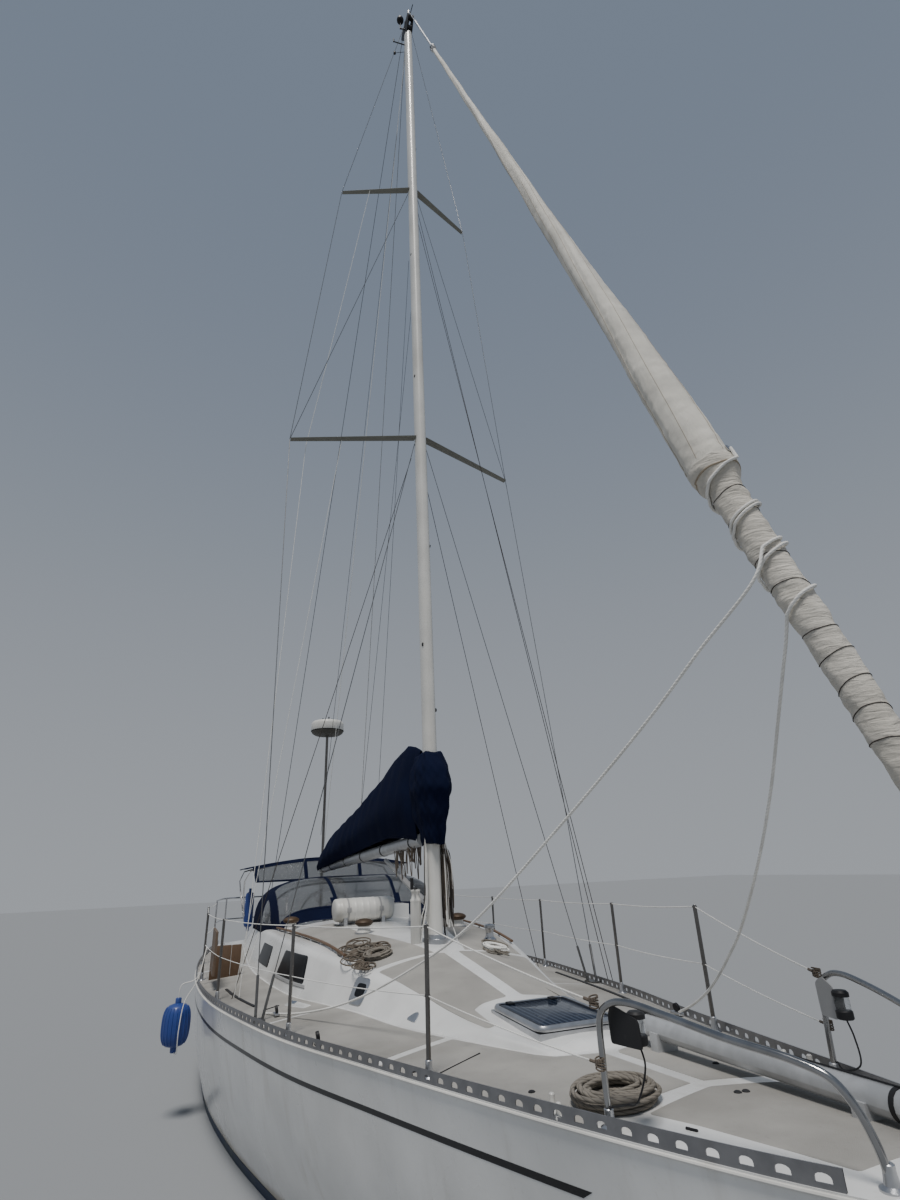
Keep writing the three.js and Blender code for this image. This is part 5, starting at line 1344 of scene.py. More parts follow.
def add_crane():
    """The masthead: cheek plates with sheaves between, a hooded antenna, a wind vane and a lamp."""
    gear = Shape()
    foot = np.array([mast_x(CRANE_Z), 0, CRANE_Z])
    for side in (-0.055, 0.045):
        plate = rounded([(-0.24, 0.3), (-0.2, 0.42), (0.12, 0.42), (0.19, 0.36), (0.19, 0.28),
            (0.09, -0.02), (-0.09, -0.02)], 0.03, 4)
        upright = lambda p, y=side: np.column_stack([foot[0] + p[:, 0], y + p[:, 2], foot[2] + p[:, 1]])
        gear.slab(plate[::-1], 0, 0.01, 0.003, upright)
    for at, up in ((0.13, 0.33), (-0.17, 0.34), (0.07, 0.12), (-0.06, 0.12)):
        gear.lathe([(0.03, -0.045), (0.05, -0.04), (0.043, 0), (0.05, 0.04), (0.03, 0.045)],
                   foot + (at, 0, up), (0, 1, 0), 24)
    gear.lathe([(0.05, 0), (0.062, 0.02), (0.064, 0.06), (0.05, 0.1), (0.02, 0.115)],
               foot + (-0.05, -0.13, 0.48), sides=28)
    for start, end, radius in (((-0.05, -0.13, 0.24), (-0.05, -0.13, 0.49), 0.012),
            ((-0.05, -0.13, 0.25), (-0.03, -0.05, 0.24), 0.012),
            ((0.1, 0.02, 0.4), (0.1, 0.02, 0.58), 0.009), ((-0.1, 0.02, 0.56), (0.24, 0.02, 0.56), 0.007)):
        gear.rod(foot + start, foot + end, radius)
    vane = lambda p: np.column_stack([foot[0] + p[:, 0], 0.02 + p[:, 2], foot[2] + 0.56 + p[:, 1]])
    gear.slab([(-0.11, -0.03), (-0.03, -0.012), (-0.03, 0.012), (-0.11, 0.03)], -0.002, 0.002, 0.0008, vane)
    for start, end, radius in (((-0.02, -0.06, -0.28), (-0.04, -0.26, -0.28), 0.01),
                               ((-0.04, -0.26, -0.29), (-0.04, -0.26, -0.2), 0.012)):
        gear.rod(foot + start, foot + end, radius)
    lamp = foot + (-0.05, -0.24, -0.6)
    gear.lathe([(0.01, -0.03), (0.022, -0.02), (0.022, 0.02), (0.01, 0.03)], lamp)
    gear.rod(foot + (-0.02, -0.06, -0.5), lamp, 0.004, 8)
    gear.made("masthead_crane", "black", outward=True)


def add_halyards():
    """Lines and loops beside the mast's foot; the aft lower shrouds, the wires inside the spreaders and
    the flag halyards, each with a parabola of sag; and the topping lift, which swings with the boom."""
    rng = np.random.default_rng(5)
    ropes = {"white_rope": Shape(), "dark_rope": Shape(), "tie": Shape(), "topping_lift": Shape()}
    for k in range(8):
        side = 1 if k % 2 else -1
        top = 2.35 + 0.28 * rng.random()
        x = mast_x(2.0) + rng.uniform(-0.05, 0.06)
        y = side * (MAST_WIDE / 2 + 0.012 + 0.004 * (k // 2))
        foot_x, foot_y = x + rng.uniform(-0.12, 0.02), y + side * rng.uniform(0.04, 0.12)
        points = np.array([(mast_x(top) + (x - mast_x(2.0)), y * 0.98, top), (x, y * 1.05, (top + 1.9) / 2),
            (x, y * 1.1, 1.95), (foot_x, foot_y, roof_z(foot_x, foot_y) + 0.012)])
        ropes[("white_rope", "dark_rope")[k % 3 == 1]].tube(through(points, 40), 0.005, 8)
    for k in range(34):
        top, bottom = 2.44 - 0.05 * (k % 3), 1.72 + 0.5 * rng.random() ** 2
        turn, reach = rng.uniform(0, 6.3), 0.012 + 0.04 * rng.random() ** 0.5
        x, y = mast_x(2.2) + 0.05 + reach * math.cos(turn), 0.112 + reach * math.sin(turn)
        wide = 0.006 + 0.014 * rng.random()
        loop = np.array([(x - wide, 0.08 + 0.3 * (y - 0.112), top),
            (x - 1.4 * wide, y, (top + bottom) / 2 + 0.06), (x, y + 0.01, bottom),
            (x + 1.4 * wide, y, (top + bottom) / 2), (x + wide, 0.085 + 0.3 * (y - 0.112), top)])
        name = ("dark_rope", "tie", "tie", "dark_rope", "white_rope")[k % 5]
        ropes[name].tube(through(loop, 34), 0.0048, 7)
    lower, upper = 7.17, 11.9
    boom_end = tuple(on_boom(np.array([-BOOM_LENGTH + 0.03, -0.01, -0.14])))
    on = lambda x, y: (x, y, deck_z(x, y))
    for start, end, radius, name in (
        ((-0.45, -0.62, upper), (-0.75, -1.3, lower), 0.003, "white_rope"),
        ((-0.75, -1.3, lower), (-0.38, -1.6, 1.3), 0.003, "white_rope"),
        ((-0.5, -0.9, lower), (-0.42, -1.64, 1.3), 0.0025, "white_rope"),
        ((-0.3, 0.0, 16.62), boom_end, 0.004, "topping_lift"),
        ((-0.42, 0.03, 16.6), (-3.4, -0.42, 2.7), 0.003, "dark_rope"),
        ((-0.28, 0.05, 10.4), (-1.9, -0.22, 2.95), 0.0025, "dark_rope"),
        ((-0.3, 0.06, upper - 0.1), on(0.3, 1.55), 0.0035, "dark_rope"),
        ((-0.3, 0.06, upper - 0.35), on(0.36, 1.56), 0.0035, "dark_rope"),
        ((-0.3, 0.06, 6.95), on(-1.12, 1.6), 0.0035, "dark_rope"),
        ((-0.3, -0.06, 6.95), on(-1.12, -1.6), 0.0035, "dark_rope"),
        ((-0.28, -0.06, 10.4), (-1.9, -0.02, 2.95), 0.0025, "dark_rope"),
    ):
        start, end = np.array(start), np.array(end)
        share = np.linspace(0, 1, 24)[:, None]
        sag = (0, 0, 0.03) * (1 - (2 * share - 1) ** 2)
        ropes[name].tube(start + share * (end - start) - sag, radius, 7)
    ropes.pop("topping_lift").made("topping_lift", "white_rope", "boom", "rope")
    for name, shape in ropes.items():
        shape.made("halyards_" + name, name, slot="rope")


def add_boom():
    """The drooping boom with black rings, loops of reef line hanging under it, and the kicker."""
    refined("boom", "boom", "boom", bevel=0.002)
    bands = Shape()
    for d in (0.3, 1.16, 1.9, 2.6, 3.3, 3.75):
        centre = on_boom(np.array([-d, 0, -BOOM_DROOP * d / BOOM_LENGTH]))
        ahead = turned(np.array([-1.0, 0, -BOOM_DROOP / BOOM_LENGTH]), "Z", BOOM_SWING)
        bands.lathe([(0.063, -0.012), (0.0655, -0.01), (0.0655, 0.01), (0.063, 0.012)], centre, ahead,
            sides=32)
    bands.made("boom_rings", "rubber", "boom")
    hanging = Shape()
    rng = np.random.default_rng(11)
    for k in range(22):
        d = 0.22 + 0.5 * rng.random()
        y, drop = rng.uniform(-0.06, 0.06), 0.1 + 0.22 * rng.random() ** 1.5
        wide = 0.02 + 0.05 * rng.random()
        at = np.array([-d, y, -BOOM_DROOP * d / BOOM_LENGTH - 0.05])
        loop = at + np.array([(-wide, 0, 0), (-0.9 * wide, 0.01, -0.5 * drop), (0, 0.012, -drop),
            (0.8 * wide, 0, -0.45 * drop), (wide, 0, 0)])
        hanging.tube(on_boom(through(loop, 26)), 0.0045, 7)
    hanging.made("reef_lines", "tie", "boom")
    refined("kicker", "grey", "boom", bevel=0.0015)


class YACHT_OT_spars(bpy.types.Operator):
    """Mast, spreaders, wires, boom and kicker"""
    bl_idname = "yacht.spars"
    bl_label = "Spars and rigging"

    def execute(self, context):
        add_mast()
        refined("mast_collar", "alloy", bevel=0.003)
        refined("masthead_gear", "dark_steel", bevel=0.002)
        for name, look, bevel in (("spreader_lower", "spreader", 0.003),
                ("spreader_upper", "spreader", 0.003), ("shrouds", "wire", 0), ("backstay", "wire", 0)):
            for side in ("_port", "_starboard"):
                refined(name + side, look, bevel=bevel)
        refined("forestay", "alloy")
        refined("furler_drum", "black", bevel=0.002)
        refined("mast_brackets", "alloy", bevel=0.002)
        add_boom()
        return {"FINISHED"}


def stay_frame():
    """The forestay's direction, and two directions square to it: forwards and to port."""
    along = unit(on_stay(1.0) - on_stay(0.0))
    return along, np.cross((0, 1, 0), along), np.array([0.0, 1.0, 0.0])


def on_roll(share, angle, lift=0.0):
    """The furled genoa's surface: a radius from the roll's table, two sail edges that wind slowly round it,
    and creases across it that are sums of sines of both directions, shallower where the roll is thin."""
    along, fore, port = stay_frame()
    share, angle = np.broadcast_arrays(np.asarray(share, float), np.asarray(angle, float))
    radius = np.interp(share, ROLL[:, 0], ROLL[:, 1])
    metres = share * 16
    wound = (angle - 2 * np.pi * 1.3 * share) / (2 * np.pi)
    edge = sum(step * (np.exp(-np.mod(wound - place, 1) * 7) - 0.14)
        for place, step in ((0.1, 0.008), (0.46, 0.006)))
    folds = waves(7 * metres, 1.3 * np.sin(angle), 3) + 0.6 * waves(21 * metres, 1.6 * np.cos(angle), 8)
    thick = np.clip((0.31 - share) * 30, 0, 1)
    folds = folds + 0.35 * thick * waves(48 * metres, 2 * np.sin(angle + 1), 13)
    upper = np.clip((share - 0.157) * 60, 0, 1)
    long = np.sin(6 * np.pi * wound + 0.5 * np.sin(1.1 * metres))
    long = long + 0.6 * np.sin(10 * np.pi * wound + 0.7 * metres)
    folds = folds * (1 - 0.72 * upper) + 0.75 * upper * long
    tight = np.clip((share - 0.045) * 40, 0.2, 1) * np.clip((0.8 - share) * 6, 0.3, 1)
    reach = radius + (edge + chosen()[1].crease * folds) * tight * np.clip(radius / 0.08, 0.5, 1.2) + lift
    sag = 0.004 * np.sin(5 * metres)
    return (on_stay(share) + (reach * np.cos(angle))[..., None] * fore
            + (reach * np.sin(angle) + sag)[..., None] * port)


def cover_ring(away, fold):
    """The sail cover's section at each distance aft: its table's half-widths joined by a smooth curve from
    one lower edge over the top to the other. Folds are waves that deepen downwards."""
    lines = np.stack([np.interp(away, COVER[:, 0], COVER[:, k]) for k in range(5)], -1)
    bottom, top, low, half = (lines[:, k][:, None] for k in (1, 2, 3, 4))
    share = np.array([0, 0.3, 0.6, 0.9, 1.0])
    y = np.concatenate([low * 0.9, half, 0.8 * half, 0.36 * half, 0 * half], -1)
    z = bottom + (top - bottom) * share - BOOM_DROOP * away[:, None] / BOOM_LENGTH
    y, z = np.concatenate([y, -y[:, -2::-1]], -1), np.concatenate([z, z[:, -2::-1]], -1)
    control = np.stack([np.broadcast_to(-away[:, None], y.shape), y, z], -1)
    ring = smooth(control, 56)
    across = np.linspace(-1, 1, 56)[None, :]
    down = np.abs(across)
    d = away[:, None]
    pleats = np.sin(2 * np.pi * d / 0.31 + 2.2 * down + 0.8 * np.sin(3 * d))
    pleats = pleats * (0.25 + 0.75 * np.sin(np.pi * down))
    soft = waves(3.2 * d, 1.8 * across, 11, 1.0, 8)
    sag = (0.55 * pleats * (1 - down**8) + 0.9 * soft) * fold
    out = unit(np.cross(np.gradient(ring, axis=1), np.gradient(ring, axis=0)))
    return ring - sag[..., None] * np.abs(out) * np.sign(out)


def add_genoa():
    """The roll as one surface; a leather edge at its step; the clew's ring, the two sheets' turns round
    the roll down to where they leave it, and thin ties that lie on it."""
    shares = np.concatenate([np.linspace(0.0452, 0.149, 170), np.linspace(0.1495, 0.1585, 14),
                             np.linspace(0.16, 0.3, 260), np.linspace(0.301, 0.79, 420)])
    angle = 2 * np.pi * np.arange(52) / 52
    taut = np.broadcast_to((shares[:-1, None] > 0.16).astype(int), (len(shares) - 1, 52))
    genoa = Shape().grid(on_roll(shares[:, None], angle[None, :]), wrap=True, mark=taut, ends=True)
    genoa = genoa.made("genoa_roll", ["sail", "taut_sail"], sharp=60)
    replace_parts(genoa, "furled_genoa")
    hem, clew, ropes, ties = Shape(), Shape(), Shape(), Shape()
    turn = 2 * np.pi * np.arange(61) / 60
    hem.tube(on_roll(0.1565 + 0 * turn, turn, -0.001), 0.005, 8, ends=False)
    hem.made("genoa_foot_edge", "hem")
    at = on_roll(np.array(CLEW), np.array(0.25), 0.002)
    out = unit(on_roll(np.array(CLEW), np.array(0.25), 1.0) - at)
    clew.lathe([(0.014, -0.004), (0.024, -0.003), (0.026, 0.003), (0.02, 0.006), (0.014, 0.004)], at,
        out, sides=24)
    clew.made("clew_ring", "steel", merge=1e-5)
    along, fore, port = stay_frame()
    span = np.linalg.norm(on_stay(1.0) - on_stay(0.0))
    for leaves, rounds, lift in ((STARBOARD_SHEET[0], 2, 0.0), (SHEET_ROUTE[0], 3, 0.004)):
        low = (leaves - STAY_FOOT) @ along / span
        end = math.atan2(leaves @ port, (leaves - STAY_FOOT) @ fore)
        t = np.linspace(0, 1, 200 * rounds)
        share = 0.1575 - (0.1575 - low) * t ** 0.9
        way = on_roll(share, 0.25 - t * (2 * np.pi * rounds + 0.25 - end), 0.0075 + lift)[3:]
        ropes.tube(np.vstack([at + 0.01 * out, way[:-14], leaves]), 0.0068, 8)
    for k, share in enumerate((0.148, 0.138, 0.122, 0.113, 0.099, 0.092, 0.084, 0.077, 0.07)):
        ring = on_roll(share + 0.0008 * np.sin(turn + 1.3 * k), turn, 0.0008)
        ties.tube(ring, 0.0019, 6)
    seams = Shape()
    for place in (0.04, 0.13, 0.29, 0.42, 0.58, 0.77, 0.9):
        share = np.linspace(0.162, 0.5 - 0.3 * (place % 0.3), 220)
        seams.tube(on_roll(share, 2 * np.pi * (place + 1.3 * share), 0.0002), 0.0016, 5)
    seams.made("genoa_seams", "hem")
    swivel = Shape().lathe([(0.024, -0.06), (0.042, -0.055), (0.046, 0), (0.042, 0.055), (0.024, 0.06)],
        on_stay(0.799), along)
    swivel.made("halyard_swivel", "black")
    ropes.made("sheet_turns", "white_rope")
    ties.made("genoa_ties", "dark_rope")


def add_cover():
    """The cover: an open shell, cut along its foot, where toggles hold its two edges together."""
    away = np.concatenate([np.linspace(0.055, 0.4, 26), np.linspace(0.42, 3.95, 190)])
    ring = cover_ring(away, chosen()[1].fold)
    ring[-1] = ring[-1] * (1, 0.8, 1) - (0.004, 0, 0)
    shape = Shape().grid(on_boom(ring.reshape(-1, 3)).reshape(ring.shape))
    made = shape.made("sail_cover_cloth", "canvas", "boom", sharp=60)
    thickened(made)
    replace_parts(made, "sail_cover")
    seams, toggles = Shape(), Shape()
    for d in (0.62, 1.55, 2.5, 3.3):
        line = cover_ring(np.array([d - 0.01, d, d + 0.01]), chosen()[1].fold)[1]
        seams.tube(on_boom(line), 0.0028, 6)
    for d in np.arange(0.3, 3.9, 0.4):
        low = np.interp(d, COVER[:, 0], COVER[:, 1]) - BOOM_DROOP * d / BOOM_LENGTH
        wide = float(np.interp(d, COVER[:, 0], COVER[:, 3]))
        strap = on_boom(np.array([(-d, -wide * 0.95, low + 0.01), (-d, 0, low - 0.004),
            (-d, wide * 0.95, low + 0.01)]))
        toggles.tube(through(strap, 16), 0.004, 6)
    seams.made("cover_seams", "navy", "boom")
    toggles.made("cover_toggles", "black", "boom")


def add_wrap():
    """The cover's collar: a sheet round the front of the mast, gathered above and below, in folds."""
    heights = np.concatenate([WRAP[:, 0], [3.275]])
    reach = np.concatenate([WRAP[:, 1], [0.115]])
    half = np.concatenate([WRAP[:, 2], [0.082]])
    z = np.linspace(2.43, 3.275, 70)
    fore = smooth(np.stack([heights, reach, half], -1)[None], 400)[0]
    r, w = np.interp(z, fore[:, 0], fore[:, 1]), np.interp(z, fore[:, 0], fore[:, 2])
    a = np.linspace(-np.pi / 2 - 0.8, np.pi / 2 + 0.8, 76)
    cosine, sine = np.cos(a)[None, :], np.sin(a)[None, :]
    aft = np.maximum(np.abs(a) - np.pi / 2, 0)[None, :] / 0.8
    back = 0.11 + 0.11 * np.clip((z[:, None] - 2.56) / 0.12, 0, 1)
    x = mast_x(z)[:, None] + np.where(aft > 0, -back * aft, r[:, None] * np.maximum(cosine, 0) ** 0.9)
    y = w[:, None] * np.sign(sine) * np.where(aft > 0, 1 - 0.2 * aft, np.abs(sine) ** 0.8)
    fold = 0.012 * waves(9 * z[:, None], 2.2 * a[None, :], 21, 1.0, 7)
    fold = fold + 0.008 * np.sin(7 * a[None, :] + 4 * z[:, None])
    up = z[:, None] + 0.012 * waves(3 * a[None, :] + 0 * z[:, None], z[:, None], 4)
    grid = np.stack([x + fold * cosine, y + fold * sine, up], -1)
    made = Shape().grid(grid).made("mast_wrap_cloth", "canvas", sharp=60)
    thickened(made)
    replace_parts(made, "mast_wrap")


class YACHT_OT_sails(bpy.types.Operator):
    """The furled genoa, the mainsail's cover and its wrap round the mast"""
    bl_idname = "yacht.sails"
    bl_label = "Sails and covers"

    def execute(self, context):
        add_genoa()
        add_cover()
        add_wrap()
        return {"FINISHED"}


HOOD = np.array([
    # x, half width, height of the top
    [-2.33, 1.02, 1.72], [-2.66, 1.09, 1.985], [-3.06, 1.15, 2.15], [-3.56, 1.17, 2.16], [-3.92, 1.18, 2.13],
])


def hood_point(u, a, out=0.0):
    """The sprayhood: a rounded arch over the companionway whose half width and height follow a table along
    it, and whose front lies on top of the hatch's garage."""
    lines = smooth(HOOD[None], 200)[0]
    at = np.asarray(u, float) * 199
    half, top, x = (np.interp(at, np.arange(200), lines[:, k]) for k in (1, 2, 0))
    side = np.sign(np.cos(a)) * np.abs(np.cos(a)) ** 0.45
    rise = np.abs(np.sin(a)) ** 0.6
    y, z = -(half + out) * side, 1.5 + (top + out - 1.5) * rise
    z = np.where(np.abs(y) < GARAGE_HALF + 0.02, np.maximum(z, GARAGE_TOP + 0.012 + max(out, 0)), z)
    return np.stack([np.broadcast_to(x + out * 0.5 * (1 - u), y.shape), y, z], -1)


def add_bimini():
    """A sheet that drops to both sides by a parabola, sagging between its bows, with a hem round it."""
    x = np.linspace(BIMINI["front"], BIMINI["aft"], 50)[:, None]
    y = np.linspace(-1, 1, 90)[None, :] * BIMINI["half"]
    middle = (x - BIMINI["aft"]) / (BIMINI["front"] - BIMINI["aft"])
    sag = 0.02 * np.sin(np.pi * middle) * (1 - (y / BIMINI["half"]) ** 2) + 0.004 * waves(4 * x, 2 * y, 17)
    z = BIMINI["top"] - BIMINI["fall"] * (y / BIMINI["half"]) ** 2 - sag
    grid = np.stack([x + 0 * y, y + 0 * x, z], -1)
    made = Shape().grid(grid, flip=True).made("bimini_cloth", "canvas", sharp=60)
    thickened(made)
    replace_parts(made, "bimini")
    hem = Shape()
    edge = np.concatenate([grid[0], grid[1:, -1], grid[-1, ::-1][1:], grid[::-1, 0][1:]])
    hem.tube(edge - (0, 0, 0.004), 0.007, 8)
    hem.made("bimini_hem", "navy")
    refined("bimini_frame", "steel")
    add_screen(grid[0])


def add_screen(head):
    """A clear sheet with a navy border hung from the bimini's front edge, its belly a half sine."""
    down = np.linspace(0, 1, 22)[:, None]
    share = np.linspace(0.04, 0.96, len(head))
    top = head[(share * (len(head) - 1)).astype(int)]
    foot = top * (0, 0.97, 0) + (BIMINI["front"] + 0.2, 0, 2.12)
    points = top[None] + down[..., None] * (foot - top)[None]
    belly = np.sin(np.pi * down) + 0.3 * waves(3 * down, 3 * top[None, :, 1], 41)
    points = points + (0.02, 0, 0) * belly[..., None]
    points[..., 2] -= 0.006
    across = np.abs(top[None, :, 1])
    clear = (down > 0.14) & (down < 0.88) & (np.abs(across - 0.42) > 0.02) & (across < 1.13)
    made = Shape().grid(points, mark=clear[:-1].astype(int)).made("bimini_screen",
        ["canvas", "clear_vinyl"], sharp=60)
    thickened(made, SCREEN)


class YACHT_OT_canopies(bpy.types.Operator):
    """Sprayhood with clear windows, bimini and their bows"""
    bl_idname = "yacht.canopies"
    bl_label = "Sprayhood and bimini"

    def execute(self, context):
        u = np.concatenate([np.linspace(0, 0.10, 6), np.linspace(0.12, 0.62, 26),
            np.linspace(0.64, 1, 18)])[:, None]
        a = np.linspace(0.02, np.pi - 0.02, 121)[None, :]
        slack = 0.008 * waves(6 * u, 2.4 * a, 31, 1.0, 7) * np.sin(np.pi * np.clip(u, 0, 1))
        points = hood_point(u, a + 0 * u)
        points = points + slack[..., None] * unit(points - (-3.1, 0, 1.4))
        marks = np.zeros(points.shape[:2], int)
        across = -points[..., 1] / points[..., 1].max()
        low = points[..., 2] < 1.66
        inside = (np.abs(np.abs(across) - 0.34) > 0.022) & (np.abs(np.abs(across) - 0.9) > 0.03)
        marks[(u > 0.115) & (u < 0.56) & ~low & inside] = 1
        made = Shape().grid(points, mark=marks[:-1]).made("sprayhood_cloth",
            ["canvas", "clear_vinyl"], sharp=60)
        thickened(made)
        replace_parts(made, "sprayhood")
        bows, piping = Shape(), Shape()
        for share in (0.42, 0.97):
            angle = np.linspace(0.03, np.pi - 0.03, 90)
            bows.tube(hood_point(np.full(90, share), angle, -0.018), 0.011, 12)
        for share in (0.0, 1.0):
            angle = np.linspace(0.02, np.pi - 0.02, 110)
            piping.tube(hood_point(np.full(110, share), angle, 0.001), 0.006, 8)
        angle = np.linspace(0.25, np.pi - 0.25, 90)
        for share in (0.105, 0.585):
            piping.tube(hood_point(np.full(90, share), angle, 0.002), 0.003, 6)
        bows.made("hood_bows", "steel")
        piping.made("hood_piping", "navy")
        add_bimini()
        return {"FINISHED"}


def add_canister():
    """A moulded barrel with ribs, held by two straps; its radius rises and falls along its axis."""
    x, z = CANISTER["x"], CANISTER["z"]
    y = np.linspace(CANISTER["from"] + 0.04, CANISTER["to"] - 0.02, 90)
    share = np.linspace(0, 1, 90)
    ends = 1 - np.abs(2 * share - 1) ** 16
    ribs = 0.004 * (np.cos(2 * np.pi * share * 9) > 0.6) * (np.abs(share - 0.5) < 0.4)
    swell = (1 + ribs / 0.15) * (0.72 + 0.28 * ends ** 0.5)
    turn = 2 * np.pi * np.arange(40) / 40
    oval = np.stack([0.15 * np.sin(turn), 0.118 * np.cos(turn) - 0.04], -1)
    place = lambda size, h: np.stack([x + size * oval[:, 0], np.full(40, h), z + size * oval[:, 1]], -1)
    rings = np.stack([place(size, h) for size, h in zip(swell, y)])
    made = Shape().grid(rings, wrap=True, ends=True).made("canister_shell", "white", sharp=40, outward=True)
    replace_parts(made, "liferaft_canister")
    straps = Shape()
    for at in (-0.42, -0.06):
        levels = ((1.0, at - 0.01), (1.03, at - 0.009), (1.03, at + 0.009), (1.0, at + 0.01))
        straps.grid(np.stack([place(size, h) for size, h in levels]), wrap=True)
        straps.block((x + 0.143, at - 0.022, z - 0.06), (x + 0.163, at + 0.022, z - 0.01), 0.004)
    straps.made("canister_straps", "grey", slot="black_plastic", outward=True)


def add_pole():
    """The pole's own shape, a black ring near each end, and along its top a black line as painted shadow of
    the rail above.
    """
    refined("spinnaker_pole", "boom", bevel=0.002)
    ahead = unit(POLE_TO - POLE_FROM)
    rings = Shape()
    for share in (0.06, 0.94):
        rings.lathe([(POLE_RADIUS, -0.01), (POLE_RADIUS + 0.002, -0.009), (POLE_RADIUS + 0.002, 0.009),
                     (POLE_RADIUS, 0.01)], POLE_FROM + share * (POLE_TO - POLE_FROM), ahead, sides=32)
    # A thin black line along the pole's top: a painted shadow of the rail above.
    share = np.linspace(0.02, 0.98, 30)[:, None]
    line = POLE_FROM + share * (POLE_TO - POLE_FROM) + (0, 0, POLE_RADIUS + 0.004)
    rings.tube(line, 0.0035, 8)
    rings.made("pole_rings", "black")


def add_fenders():
    """Each fender is a profile of radius along its length with a neck at both ends, the hanging one
    ribbed and on two lines that are smooth curves through measured points."""
    for node, radius in (("fender_hanging", 0.135), ("fender_stowed", 0.068)):
        hanging = node == "fender_hanging"
        low, high = (np.array(corner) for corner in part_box(node))
        middle = (low + high) / 2 - ((0, 0, -0.02) if hanging else (0, 0.12, 0.06))
        long = (high[2] - low[2]) * (FENDER_SHARE if hanging else 1)
        neck = min(0.03, 0.3 * radius)
        body = np.linspace(-1, 1, 24)
        shape = Shape()
        rise = (long / 2 - 0.05) * body
        power = 2.6 if hanging else 5
        fat = radius * (1 - np.abs(body) ** power) ** 0.5 + neck * np.abs(body) ** power
        profile = [(neck * 0.8, -long / 2 + 0.002), (neck, -long / 2 + 0.01), (neck, rise[0] - 0.006)]
        profile += list(zip(np.maximum(fat, neck), rise))
        profile += [(neck, rise[-1] + 0.006), (neck, long / 2 - 0.01), (neck * 0.8, long / 2 - 0.002)]
        shape.lathe(profile, middle, sides=36)
        for turn in np.arange(0, 2 * np.pi, 2 * np.pi / 20) if hanging else ():
            out = np.stack([fat * np.cos(turn), fat * np.sin(turn), rise], -1)[2:-2]
            shape.tube(middle + out * (0.985, 0.985, 1), 0.008, 8)
        made = shape.made(node + "_skin", "blue", sharp=50)
        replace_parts(made, node)
    rope = Shape()
    low, high = (np.array(k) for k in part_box("fender_hanging"))
    middle = (low + high) / 2 + (0, 0, 0.02)
    half = np.array([0, 0, FENDER_SHARE * (high[2] - low[2]) / 2 - 0.01])
    top, foot = middle + half, middle - half
    rail = np.array([-2.35, -(deck_half(-2.35) - STANCHION_INSET), sheer(-2.35) + 0.36])
    upper = [top, top + (0, 0.015, 0.12), (rail[0], -1.885, sheer(-2.35) + 0.07), rail]
    lower = [foot, foot + (0.1, 0.03, 0.0), middle + (0.155, 0.03, -0.03), middle + (0.13, 0.06, 0.22),
             (rail[0] + 0.1, -1.875, sheer(-2.25) + 0.07), rail + (0.02, 0, 0)]
    for line, count in ((upper, 40), (lower, 60)):
        rope.tube(through(np.array(line), count), 0.005, 10)
    rope.made("fender_line", "white_rope")


def add_roof_winch():
    """Drum winch on the roof: a waisted profile turned about its axis, with a self-tailing crown."""
    drum, dark = Shape(), Shape()
    base = np.array([-0.126, 0.586, roof_z(-0.126, 0.586)])
    drum.lathe([(0.062, -0.005), (0.062, 0.008), (0.056, 0.014), (0.042, 0.026), (0.036, 0.05),
        (0.037, 0.08), (0.044, 0.098), (0.05, 0.102), (0.05, 0.108), (0.046, 0.112), (0.05, 0.116),
        (0.05, 0.124), (0.038, 0.132), (0.014, 0.134)], base, sides=40)
    dark.lathe([(0.013, 0.125), (0.013, 0.1345), (0.011, 0.136)], base, sides=16)
    drum.made("roof_winch", "steel")
    dark.made("winch_socket", "black")
    handle = Shape()
    top = np.array([MAST_POST[0], MAST_POST[1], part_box("mast_winch_post")[1][2]])
    handle.rod(top + (0, 0, -0.012), top + (0, 0, 0.016), 0.014, 16)
    handle.rod(top + (-0.01, 0.0, 0.012), top + (0.2, -0.1, 0.016), 0.009, 12)
    handle.rod(top + (0.2, -0.1, 0.006), top + (0.2, -0.1, 0.1), 0.014, 14)
    handle.made("winch_handle", "black")


